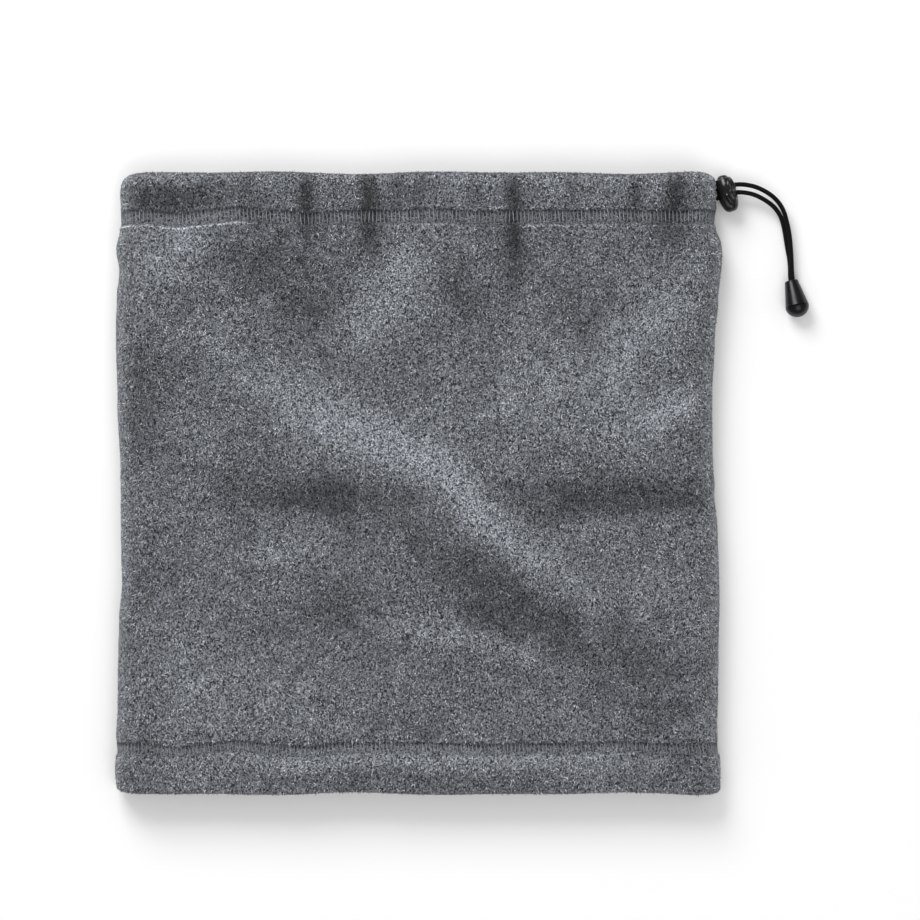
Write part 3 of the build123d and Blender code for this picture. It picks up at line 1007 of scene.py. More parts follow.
    def place(self, around: Array, y: Array, inset: Array) -> tuple[Array, Array, Array]:
        """Where a place on the cloth is.

        Args:
            around: how far round, from 0 to 1.
            y: height up the neck, in metres.
            inset: how far inside the outer face, in metres; below 0 stands proud.

        Returns:
            Points, outward directions and the pile's painted light and shade, with its random mottle, at
            each place; 1 where it is flat.
        """
        corner = np.where(y > 0, self.top_corner, self.bottom_corner)
        ends = np.clip((np.abs(y) - (TOP_Y - corner)) / corner, 0, 1)
        pull_in = corner * (1 - np.sqrt(1 - ends**2)) * 0.8
        x, z, nx, nz = self.outline(around, self.half_width(y) - pull_in, inset)
        front = smooth((nz + 0.1) / 0.9) * smooth((BODY_HALF_WIDTH - np.abs(x)) / (16 * MM) + 0.25)
        back = smooth((-nz + 0.1) / 0.9)
        fade = smooth((TOP_Y - np.abs(y)) / (22 * MM) + 0.35)
        # dark is painted shade in the hem's creases; it dims the pile's painted light.
        depth, dark = self.crease(x, y)
        lift = self.lift(x, y) * fade - depth
        # Painted highlight along the side edges and the top edge, on all but the underside.
        painted_rim_light = smooth((np.abs(x) - self.half_width(y) + 6 * MM) / (6 * MM)) * 0.55
        painted_rim_light += smooth((y - TOP_Y + 7 * MM) / (7 * MM)) * 0.55
        # The pile's painted light, dimmed by painted shade in the creases, plus the painted highlight at the
        # edges.
        painted_light_and_mottle = 1 + (self.painted_light_and_mottle(x, y) * (1 - 0.75 * dark) - 1) * front + painted_rim_light * (nz > -0.5)
        sunk = self.sink(y) * np.where(nz < -0.5, 0.0, 1.0)
        x = x - nx * sunk
        z = z - nz * sunk
        places = np.stack([x, y, z], axis=1)
        lumps = soft_noise(places, 5.5 * MM, 3) * self.lump
        lumps += soft_noise(places, 3.2 * MM, 5) * self.lump * 0.7
        slow = soft_noise(places, 30 * MM, 9) * 0.35 * MM
        side = smooth((np.abs(x) - 0.72 * BODY_HALF_WIDTH) / (0.28 * BODY_HALF_WIDTH))
        wander = np.where(x > 0, eased_profile(y, self.right_edge), -eased_profile(y, self.left_edge))
        moved = places.copy()
        moved[:, 0] += wander * side + nx * (lumps + slow) * (1 - back)
        moved[:, 2] += lift * front + nz * (lumps + slow) * (1 - back)
        moved[:, 1] += self.edge_wave(x) * np.clip(np.abs(y) / TOP_Y, 0, 1) ** 6 * np.sign(y)
        near_hem = smooth((np.abs(y) - 92 * MM) / (16 * MM)) * smooth((TOP_Y - np.abs(y)) / (12 * MM))
        moved[:, 1] += self.hem_wave(x) * near_hem
        moved[:, 2] += self.ripple(x, y) * back
        outward = np.stack([nx, np.zeros(len(x)), nz], axis=1)
        return moved, outward, painted_light_and_mottle

    def edge_wave(self, x: Array) -> Array:
        """How far the top and bottom edges wander up and down across the tube."""
        return (0.35 * np.sin(x / (17 * MM)) + 0.3 * np.sin(x / (9.5 * MM) + 1.3)) * MM

    def ripple(self, x: Array, y: Array) -> Array:
        """How far the underside lifts off the table in places."""
        wave = np.sin(x / (28 * MM) + 0.7) * np.sin(y / (33 * MM) + 0.4)
        return 0.35 * MM * np.clip(wave, 0, 1)


@dataclass
class FleeceTube:
    """The fleece panel: one closed cloth, its two hems turned inward."""

    shape: ClothShape
    column: float = 1.5 * MM
    row: float = 1.5 * MM
    sewn_row: float = 0.5 * MM
    inner_row: float = 4.0 * MM
    fold_steps: int = 8

    def profile(self) -> Array:
        """The cloth's section up the neck, as a closed loop of heights and insets.

        Returns:
            One row of (height, inset) per station, from the bottom fold up the outside and down the inside.
        """
        shape = self.shape
        single = shape.fleece
        double = 2 * shape.fleece
        stack = double + shape.channel
        bottom = -TOP_Y
        top_round, bottom_round = stack / 2, double / 2
        outer = self.outer_rows(bottom + bottom_round, TOP_Y - top_round)
        stations = [(y, 0.0) for y in outer]
        for step in range(1, self.fold_steps):
            turn = math.pi * step / self.fold_steps
            level = TOP_Y - top_round + top_round * math.sin(turn)
            stations.append((level, top_round - top_round * math.cos(turn)))
        row_low = float(TOP_ROW_LOW[1])
        row_high = float(TOP_ROW_HIGH[1])
        facing_low = row_low - shape.hem_allowance
        hem_high = float(BOTTOM_ROW_HIGH[1]) + shape.hem_allowance
        inside = [
            (TOP_Y - top_round, stack),
            (TOP_Y - 6 * MM, stack),
            (TOP_Y - 9 * MM, stack),
            (row_high + 2 * MM, stack),
            (row_high, stack - 0.6 * MM),
            (row_high - 1.5 * MM, double + 0.3 * MM),
            (row_high - 3 * MM, double),
            (facing_low + 0.3 * MM, double),
            (facing_low, double - 0.3 * MM),
            (facing_low - 0.1 * MM, single + 0.2 * MM),
            (facing_low - 0.6 * MM, single),
        ]
        stations += inside
        middle = np.arange(facing_low - self.inner_row, hem_high + self.inner_row / 2, -self.inner_row)
        stations += [(y, single) for y in middle]
        stations += [
            (hem_high + 0.6 * MM, single),
            (hem_high + 0.1 * MM, single + 0.2 * MM),
            (hem_high, double - 0.3 * MM),
            (hem_high - 0.3 * MM, double),
        ]
        low_part = np.arange(hem_high - self.inner_row, bottom + bottom_round + 1 * MM, -self.inner_row)
        stations += [(y, double) for y in low_part]
        for step in range(0, self.fold_steps):
            turn = math.pi * step / self.fold_steps
            level = bottom + bottom_round - bottom_round * math.sin(turn)
            stations.append((level, bottom_round + bottom_round * math.cos(turn)))
        return np.array(stations)

    def outer_rows(self, low: float, high: float) -> list[float]:
        """Heights of the outer face's rows, closer together at the sewing.

        Args:
            low: the first row's height.
            high: the last row's height.

        Returns:
            The heights, rising.
        """
        rows = [low]
        while rows[-1] < high - self.row:
            at = rows[-1]
            near_top = TOP_ROW_LOW[1] - 3 * MM < at < TOP_ROW_HIGH[1] + 2 * MM
            near_bottom = BOTTOM_ROW_LOW[1] - 2 * MM < at < BOTTOM_ROW_HIGH[1] + 3 * MM
            rows.append(at + (self.sewn_row if near_top or near_bottom else self.row))
        return rows + [high]

    def buttonhole_depth(self, points: Array, outward: Array) -> Array:
        """How far the buttonhole is pressed in at each place on the outer face.

        Args:
            points: places on the cloth.
            outward: their outward directions.

        Returns:
            The depth, in metres.
        """
        centre = (BUTTONHOLE_LOW + BUTTONHOLE_HIGH) / 2
        half = (BUTTONHOLE_HIGH - BUTTONHOLE_LOW) / 2 - 0.5 * MM
        across = np.hypot((points[:, 1] - centre[1]) / half[1], (points[:, 2] - centre[2]) / half[2])
        inside = (1 - smooth((across - 0.75) / 0.3)) * (points[:, 0] > centre[0] - 6 * MM)
        return 2.6 * MM * inside * (outward[:, 0] > 0.2)

    def build(self, wardrobe: Wardrobe) -> bpy.types.Object:
        """Make the cloth.

        Args:
            wardrobe: the finishes.

        Returns:
            The cloth.
        """
        columns = int(self.shape.girth() / self.column)
        stations = self.profile()
        rows = len(stations)
        around = np.tile(np.arange(columns) / columns, rows)
        y = np.repeat(stations[:, 0], columns)
        inset = np.repeat(stations[:, 1], columns)
        points, outward, painted_light_and_mottle = self.shape.place(around, y, inset)
        outer = inset < 0.5 * MM
        points = points - outward * (self.buttonhole_depth(points, outward) * outer)[:, None]
        points[:, 2] = np.maximum(points[:, 2], 0.0)
        row, column = np.meshgrid(np.arange(rows), np.arange(columns), indexing="ij")
        here = row * columns + column
        right = row * columns + (column + 1) % columns
        up = ((row + 1) % rows) * columns + column
        up_right = ((row + 1) % rows) * columns + (column + 1) % columns
        faces = np.stack([here, right, up_right, up], axis=-1).reshape(-1, 4)
        cloth = new_object("fleece_tube", points, faces.tolist())
        # The outer face's painted light and shade; the inside gets a flat 0.9.
        shade = np.where(outer, painted_light_and_mottle * self.shape.sewing_light_and_shade(points[:, 0], y), 0.9)
        set_corner_tone(cloth, "shade", shade)
        wardrobe.dress(cloth, "fleece")
        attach(cloth, "gaiter")
        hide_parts("fleece_panel")
        return cloth


class Face(Enum):
    """Which half of the tube a coat of fibres covers."""

    FRONT = "front"
    BACK = "back"


@dataclass
class FibreCoat:
    """The short fibre ends that stand out of the pile over one half of the outer face."""

    shape: ClothShape
    face: Face
    count: int = 98000
    length: tuple[float, float] = (0.8 * MM, 1.9 * MM)
    width: tuple[float, float] = (0.22 * MM, 0.50 * MM)
    root_sink: float = 0.1 * MM
    stand: tuple[float, float] = (0.25, 0.9)
    down_the_neck: float = 0.8
    row_trim: float = 0.3
    edge_trim: float = 0.4
    edge_lean: float = 0.5
    tone_spread: tuple[float, float] = (0.75, 1.75)
    # Painted shade at each fibre's root and painted light at its tip, from root to tip.
    root_shade_tip_light: tuple[float, ...] = (0.45, 0.45, 1.0, 1.35)
    seed: int = 41

    def span(self) -> tuple[float, float]:
        """Where this half starts and ends, as shares of the way round."""
        low, high = self.shape.low_radius, LYING_HEIGHT - self.shape.low_radius
        total = self.shape.girth()
        start = (2 * (BODY_HALF_WIDTH - low) + low * math.pi / 2) / total
        end = start + (2 * (BODY_HALF_WIDTH - high) + high * math.pi) / total
        return (start, end) if self.face is Face.FRONT else (end - 1.0, start)

    def build(self, wardrobe: Wardrobe) -> bpy.types.Object:
        """Make the fibres.

        Args:
            wardrobe: the finishes.

        Returns:
            The piece.
        """
        rng = np.random.default_rng(self.seed + (self.face is Face.BACK))
        count = self.count
        start, end = self.span()
        around = start + rng.random(count) * (end - start)
        share = rng.random(count)
        y, inset, turn = self.shape.outer_run(share)
        roots, outward, painted_light_and_mottle = self.shape.place(around, y, inset + self.root_sink * np.cos(turn))
        outward = outward * np.cos(turn)[:, None] + np.array([0.0, 1.0, 0.0]) * np.sin(turn)[:, None]
        aim = rng.normal(size=(count, 3)) - np.array([0.0, self.down_the_neck, 0.0])
        aim -= outward * (aim * outward).sum(axis=1, keepdims=True)
        aim /= np.maximum(np.linalg.norm(aim, axis=1, keepdims=True), 1e-9)
        edge_on = 1 - np.abs(outward[:, 2])
        stand = (rng.uniform(*self.stand, count) * (1 - self.edge_lean * edge_on))[:, None]
        heading = aim * np.sqrt(1 - stand**2) + outward * stand
        in_row = np.maximum(
            self.shape.row_share(y, TOP_ROW_LOW[1], TOP_ROW_HIGH[1], 0.3 * MM),
            self.shape.row_share(y, BOTTOM_ROW_LOW[1], BOTTOM_ROW_HIGH[1], 0.3 * MM),
        )
        trim = (1 - self.row_trim * in_row) * (1 - self.edge_trim * edge_on)
        span = (rng.uniform(*self.length, count) * trim)[:, None]
        side = np.cross(heading, outward)
        side /= np.maximum(np.linalg.norm(side, axis=1, keepdims=True), 1e-9)
        half = side * rng.uniform(*self.width, count)[:, None] / 2
        curl = np.cross(outward, heading) * rng.uniform(-0.35, 0.35, count)[:, None] * span
        middle = roots + heading * span * 0.55 + half * 0.7 + curl * 0.6
        tip = roots + heading * span + curl * 1.2
        vertices = np.stack([roots - half, roots + half, middle, tip], axis=1).reshape(-1, 3)
        vertices[:, 2] = np.maximum(vertices[:, 2], 0.02 * MM)
        faces = (np.arange(count)[:, None] * 4 + np.arange(4)).tolist()
        piece = new_object(f"fleece_fibres_{self.face.value}", vertices, faces)
        # Each fibre's random tone, times the cloth's painted light and shade, with painted shade at its root
        # and painted light at its tip.
        sewn = self.shape.sewing_light_and_shade(roots[:, 0], y)
        tone = rng.beta(*self.tone_spread, count) * painted_light_and_mottle * sewn
        set_corner_tone(piece, "tone", np.clip(tone[:, None] * np.array(self.root_shade_tip_light), 0, 1).ravel())
        self.map_fibres(piece, around, share)
        wardrobe.dress(piece, "fibre")
        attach(piece, "gaiter")
        return piece

    def map_fibres(self, piece: bpy.types.Object, around: Array, share: Array) -> None:
        """Lay the fibres out by where they grow.

        Args:
            piece: the fibres.
            around: how far round each grows.
            share: how far up the outer face, from 0 to 1.
        """
        layer = piece.data.uv_layers.new(name="OFBake")
        start, end = self.span()
        spot = np.stack([0.01 + 0.98 * (around - start) / (end - start), 0.01 + 0.98 * share], axis=1)
        offsets = np.array([[-1, -1], [1, -1], [1, 1], [-1, 1]]) * 0.0006
        per_vertex = (spot[:, None, :] + offsets[None]).reshape(-1, 2)
        corners = np.zeros(len(piece.data.loops), dtype=np.int32)
        piece.data.loops.foreach_get("vertex_index", corners)
        layer.data.foreach_set("uv", np.clip(per_vertex[corners], 0.001, 0.999).astype(np.float32).ravel())


# ------------------------------------------------------------------ sewing


@dataclass
class StitchRow:
    """A ladder of stitches right round the tube: bars up and down, and a looped thread along each edge."""

    shape: ClothShape
    name: str
    node: str
    pitch: float = 1.66 * MM
    thread: float = 0.22 * MM
    bar_sink: float = 0.28 * MM
    bar_shares: tuple[float, ...] = (0.0, 0.12, 0.35, 0.65, 0.88, 1.0)
    bar_lift: tuple[float, ...] = (1.8, 1.0, 0.4, -0.1, -0.4, -0.3)
    # Painted shade along each bar, darker towards both ends.
    bar_end_shade: tuple[float, ...] = (0.4, 0.8, 1.0, 1.0, 0.5, 0.0)
    stray_lean: float = 0.10
    stray_reach: float = 0.25 * MM
    slant: float = 0.18
    loop_shares: tuple[float, ...] = (0.0, 0.25, 0.5, 0.75, 1.0)
    loop_sway: tuple[float, ...] = (-0.35, 0.2, 0.4, 0.2, -0.35)
    loop_lift: tuple[float, ...] = (1.4, 0.4, 0.1, 0.4, 1.4)
    seed: int = 7

    def build(self, wardrobe: Wardrobe) -> bpy.types.Object:
        """Make the row.

        Args:
            wardrobe: the finishes.

        Returns:
            The piece.
        """
        low, high = node_box(self.node)
        rng = np.random.default_rng(self.seed)
        count = int(self.shape.girth() / self.pitch)
        start = np.arange(count) / count
        step = 1.0 / count
        lean = rng.normal(0, self.stray_lean, count)
        reach = rng.normal(0, self.stray_reach, (count, 2))
        rows = []
        for share, lift in zip(self.bar_shares, self.bar_lift):
            y = low[1] + reach[:, 0] + (high[1] - low[1] + 0.3 * MM + reach[:, 1] - reach[:, 0]) * share
            around = start + step * (0.5 + lean * (share - 0.5) * 2 + self.slant * (share - 0.5))
            inset = np.full(count, self.bar_sink * lift) - 0.12 * MM
            rows.append(self.shape.place(around, y, inset)[0])
        paths = [np.stack([row[index] for row in rows]) for index in range(count)]
        vertices, faces = sweep_tubes(paths, self.thread, THREAD_SIDES)
        ring_vertices, ring_faces = self.edge_loops(low[1] + 0.2 * MM, count, rng)
        faces = np.concatenate([faces, ring_faces + len(vertices)])
        vertices = np.concatenate([vertices, ring_vertices])
        vertices[:, 2] = np.maximum(vertices[:, 2], 0.02 * MM)
        piece = new_object(self.name, vertices, faces.tolist())
        per_bar = len(self.bar_shares) * THREAD_SIDES
        # A random tone for each stitch, times painted shade towards the ends of each bar.
        tones = rng.uniform(0.5, 1.0, len(vertices) // per_bar + 1)
        along = np.tile(np.repeat(self.bar_end_shade, THREAD_SIDES), len(tones))[: len(vertices)]
        set_corner_tone(piece, "tone", np.repeat(tones, per_bar)[: len(vertices)] * along)
        wardrobe.dress(piece, "thread")
        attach(piece, "gaiter")
        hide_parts(self.node)
        return piece

    def edge_loops(self, y: float, count: int, rng: np.random.Generator) -> tuple[Array, Array]:
        """The looped thread that runs along one edge of the row.

        Args:
            y: the edge's height up the neck.
            count: how many loops go round.
            rng: the row's random numbers.

        Returns:
            Vertices and faces.
        """
        start = np.arange(count) / count
        step = 1.0 / count
        wobble = rng.normal(0, 0.12 * MM, count)
        rows = []
        for share, sway, lift in zip(self.loop_shares, self.loop_sway, self.loop_lift):
            height = np.full(count, y + sway * MM) + wobble
            inset = np.full(count, lift * self.bar_sink - 0.1 * MM)
            rows.append(self.shape.place(start + step * share, height, inset)[0])
        paths = [np.stack([row[index] for row in rows]) for index in range(count)]
        return sweep_tubes(paths, self.thread * 0.7, THREAD_SIDES)


@dataclass
class BackSeam:
    """The seam that closes the tube, down the middle of the back: a ladder of stitches on the underside."""

    shape: ClothShape
    pitch: float = 1.66 * MM
    thread: float = 0.22 * MM
    tone: float = 0.7

    def build(self, wardrobe: Wardrobe) -> bpy.types.Object:
        """Make the seam.

        Args:
            wardrobe: the finishes.

        Returns:
            The piece.
        """
        low, high = node_box("back_seam_stitching")
        y = np.arange(low[1] + 1 * MM, high[1] - 1 * MM, self.pitch)
        gap = (np.abs(y - (TOP_ROW_LOW[1] + TOP_ROW_HIGH[1]) / 2) > 3.2 * MM) & (
            np.abs(y - (BOTTOM_ROW_LOW[1] + BOTTOM_ROW_HIGH[1]) / 2) > 2.6 * MM
        )
        y = y[gap]
        paths = []
        for inner in (False, True):
            level = self.shape.fleece + 0.12 * MM if inner else 0.26 * MM
            for height in y:
                x = np.array([low[0], low[0] * 0.7, 0.0, high[0] * 0.7, high[0]])
                if inner and (height > TOP_ROW_LOW[1] or height < BOTTOM_ROW_HIGH[1]):
                    continue
                rise = np.array([0.12, 0.0, -0.02, 0.0, 0.12]) * MM * (-1 if inner else 1)
                paths.append(np.stack([x, np.full(5, height) + x * 0.12, level + rise], axis=1))
        vertices, faces = sweep_tubes(paths, self.thread, THREAD_SIDES)
        piece = new_object("back_seam_thread", vertices, faces.tolist())
        set_corner_tone(piece, "tone", np.full(len(vertices), self.tone))
        wardrobe.dress(piece, "thread")
        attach(piece, "gaiter")
        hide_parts("back_seam_stitching")
        return piece


@dataclass
class ButtonholeBinding:
    """Satin stitches all round the slot that the drawcord leaves by."""

    shape: ClothShape
    stitches: int = 44
    thread: float = 0.24 * MM
    tone: float = 0.6

    def build(self, wardrobe: Wardrobe) -> bpy.types.Object:
        """Make the binding.

        Args:
            wardrobe: the finishes.

        Returns:
            The piece.
        """
        centre = (BUTTONHOLE_LOW + BUTTONHOLE_HIGH) / 2
        half = (BUTTONHOLE_HIGH - BUTTONHOLE_LOW) / 2
        paths = []
        for index in range(self.stitches):
            turn = 2 * math.pi * index / self.stitches
            points = []
            for share, deep in ((0.98, 0.35), (0.93, 0.0), (0.84, -0.1), (0.76, 0.25), (0.72, 1.0)):
                y = centre[1] + half[1] * share * math.cos(turn)
                z = centre[2] + half[2] * share * math.sin(turn)
                drop = z - self.shape.low_radius
                radius = self.shape.low_radius if drop < 0 else LYING_HEIGHT - self.shape.low_radius
                x = HEM_HALF_WIDTH - radius + math.sqrt(radius**2 - drop**2)
                points.append([x - deep * MM, y, z])
            paths.append(np.array(points))
        vertices, faces = sweep_tubes(paths, self.thread, THREAD_SIDES)
        piece = new_object("buttonhole_thread", vertices, faces.tolist())
        set_corner_tone(piece, "tone", np.full(len(vertices), self.tone))
        wardrobe.dress(piece, "thread")
        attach(piece, "gaiter")
        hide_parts("buttonhole_binding")
        return piece


@dataclass
class CareLabel:
    """A blank tape label inside the tube, beside the back seam."""

    columns: int = 22
    rows: int = 34

    def build(self, wardrobe: Wardrobe) -> bpy.types.Object:
        """Make the label.

        Args:
            wardrobe: the finishes.

        Returns:
            The piece.
        """
        x = np.linspace(LABEL_LOW[0], LABEL_HIGH[0], self.columns)
        y = np.linspace(LABEL_LOW[1], LABEL_HIGH[1], self.rows)
        across, up = np.meshgrid(x, y)
        share = (across - LABEL_LOW[0]) / (LABEL_HIGH[0] - LABEL_LOW[0])
        curl = 0.5 * MM * share**2 + 0.3 * MM * share * np.sin(up / (9 * MM))
        height = LABEL_LOW[2] + 0.05 * MM + np.maximum(curl, 0)
        flat = np.stack([across, up, height], axis=-1).reshape(-1, 3)
        faces = []
        for row in range(self.rows - 1):
            for column in range(self.columns - 1):
                first = row * self.columns + column
                faces.append((first, first + 1, first + self.columns + 1, first + self.columns))
        piece = new_object("care_label_tape", flat, faces)
        thick = piece.modifiers.new("tape", "SOLIDIFY")
        thick.thickness = 0.25 * MM
        thick.offset = 1.0
        wardrobe.dress(piece, "label")
        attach(piece, "gaiter")
        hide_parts("care_label")
        return piece


# ------------------------------------------------------------------ drawcord

CORD_DIAMETER = 2.0 * MM
# across from the hem's edge, up from the tube's top edge, above the table
OUTER_STRAND = [
    (0.1, -7.1, 6.1),
    (5.5, -5.0, 6.1),
    (11.7, -4.3, 6.1),
    (17.8, -5.4, 6.1),
    (23.3, -8.1, 6.1),
    (27.4, -11.6, 6.0),
    (29.9, -15.5, 5.6),
    (31.4, -20.4, 5.0),
    (32.6, -25.9, 4.4),
    (33.2, -31.9, 4.15),
    (33.5, -38.2, 4.1),
    (33.85, -46.1, 3.92),
    (34.8, -50.6, 4.83),
]
INNER_STRAND = [
    (0.1, -11.1, 6.1),
    (5.1, -8.6, 6.1),
    (10.9, -7.7, 6.1),
    (16.7, -8.6, 6.1),
    (21.4, -10.9, 6.0),
    (25.5, -13.7, 5.4),
    (28.4, -17.2, 4.2),
    (30.0, -21.2, 3.1),
    (31.0, -26.4, 2.4),
    (31.9, -32.0, 2.1),
    (33.1, -38.0, 2.0),
    (33.15, -46.1, 1.87),
    (34.1, -50.6, 2.78),
]


@dataclass
class Strand:
    """One free strand of the drawcord, from the buttonhole to the knot in the bell."""

    name: str
    node: str
    route: list[tuple[float, float, float]]
    length: float
    carriers: int = 8
    sides: int = 32
    step: float = 0.16 * MM
    braid_pitch: float = 4.2 * MM
    relief: float = 0.07 * MM
    stretch_between: tuple[float, float] = (0.5, 0.93)

    def points(self) -> list[Vector]:
        """The route's points in the frame."""
        edge, top = HEM_HALF_WIDTH, TOP_Y
        return [Vector((edge + a * MM, top + b * MM, c * MM)) for a, b, c in self.route]

    def centreline(self) -> Array:
        """Closely spaced points along the route's smooth line.

        Returns:
            One row of three per point, evenly spaced.
        """
        curve = bpy.data.curves.new(self.name + "_line", "CURVE")
        curve.dimensions = "3D"
        curve.resolution_u = 40
        spline = curve.splines.new("NURBS")
        route = self.points()
        spline.points.add(len(route) - 1)
        for point, place in zip(spline.points, route):
            point.co = (*place, 1.0)
        spline.order_u = 3
        spline.use_endpoint_u = True
        holder = bpy.data.objects.new(self.name + "_line", curve)
        bpy.context.scene.collection.objects.link(holder)
        mesh = bpy.data.meshes.new_from_object(holder)
        raw = np.array([v.co[:] for v in mesh.vertices])
        bpy.data.objects.remove(holder)
        bpy.data.curves.remove(curve)
        bpy.data.meshes.remove(mesh)
        run = np.concatenate([[0], np.cumsum(np.linalg.norm(np.diff(raw, axis=0), axis=1))])
        even = np.linspace(0, run[-1], int(run[-1] / self.step))
        return np.stack([np.interp(even, run, raw[:, axis]) for axis in range(3)], axis=1)

    def build(self, wardrobe: Wardrobe, with_pieces: list[bpy.types.Object]) -> bpy.types.Object:
        """Make the strand.

        Args:
            wardrobe: the finishes.
            with_pieces: what is on this strand; not used.

        Returns:
            The piece.
        """
        line = self.centreline()
        steps = len(line)
        forward = np.gradient(line, axis=0)
        forward /= np.linalg.norm(forward, axis=1, keepdims=True)
        side = np.cross(forward, [0.0, 0.0, 1.0])
        side /= np.linalg.norm(side, axis=1, keepdims=True)
        up = np.cross(side, forward)
        run = np.concatenate([[0], np.cumsum(np.linalg.norm(np.diff(line, axis=0), axis=1))])
        turn = np.arange(self.sides) * 2 * math.pi / self.sides
        climb = run[:, None] / self.braid_pitch * 2 * math.pi
        right_hand = np.cos(self.carriers / 2 * (turn[None] + climb))
        left_hand = np.cos(self.carriers / 2 * (turn[None] - climb))
        over = np.maximum(right_hand, left_hand)
        radius = CORD_DIAMETER / 2 + self.relief * (over - 0.75)
        ring = line[:, None] + radius[..., None] * (
            np.cos(turn)[None, :, None] * side[:, None] + np.sin(turn)[None, :, None] * up[:, None]
        )
        vertices = ring.reshape(-1, 3)
        row, corner = np.meshgrid(np.arange(steps - 1), np.arange(self.sides), indexing="ij")
        nxt = (corner + 1) % self.sides
        here, ahead = row * self.sides, (row + 1) * self.sides
        faces = np.stack([here + corner, here + nxt, ahead + nxt, ahead + corner], axis=-1).reshape(-1, 4)
        last = (steps - 1) * self.sides
        ends = [tuple(range(self.sides))[::-1], tuple(range(last, last + self.sides))]
        piece = new_object(self.name, vertices, faces.tolist() + ends)
        # Painted shade in the braid's dips, lighter on the raised yarns.
        set_corner_tone(piece, "tone", np.clip((over.ravel() - 0.1) / 0.9, 0, 1))
        wardrobe.dress(piece, "cord")
        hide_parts(self.node)
        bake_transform(piece)
        return piece


# ------------------------------------------------------------------ carried-over hard parts


def on_lock(points: Array) -> Array:
    """Turn places on the cord lock's own axes into places in the row frame.

    Args:
        points: places across, up the barrel and out of the table, in millimetres from the lock's centre.

    Returns:
        The places in metres.
    """
    lean = math.radians(LOCK_TILT)
    axes = np.array(
        [[math.cos(lean), math.sin(lean), 0.0], [-math.sin(lean), math.cos(lean), 0.0], [0.0, 0.0, 1.0]]
    )
    return np.array([LOCK_X, LOCK_Y, EXIT_Z]) + points @ axes * MM


@dataclass
class LockSpring:
    """The small coil spring under the cord lock's button, built at one length; the real one shortens as the
    button goes in.
    """

    foot: float = -7.35
    height: float = 2.6
    pitch: float = 0.95
    radius: float = 1.9
    wire: float = 0.4
    steps: int = 88

    def build(self, wardrobe: Wardrobe) -> bpy.types.Object:
        """Make the spring.

        Args:
            wardrobe: the finishes.

        Returns:
            The piece.
        """
        share = np.linspace(0, 1, self.steps)
        turn = share * self.height / self.pitch * 2 * math.pi
        rise = self.foot + share * self.height
        coil = np.stack([self.radius * np.cos(turn), rise, self.radius * np.sin(turn)], axis=1)
        vertices, faces = sweep_tubes([on_lock(coil)], self.wire / 2 * MM, 10)
        piece = new_object("lock_spring_coil", vertices, faces)
        wardrobe.dress(piece, "spring")
        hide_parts("cord_lock_spring")
        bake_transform(piece)
        return piece


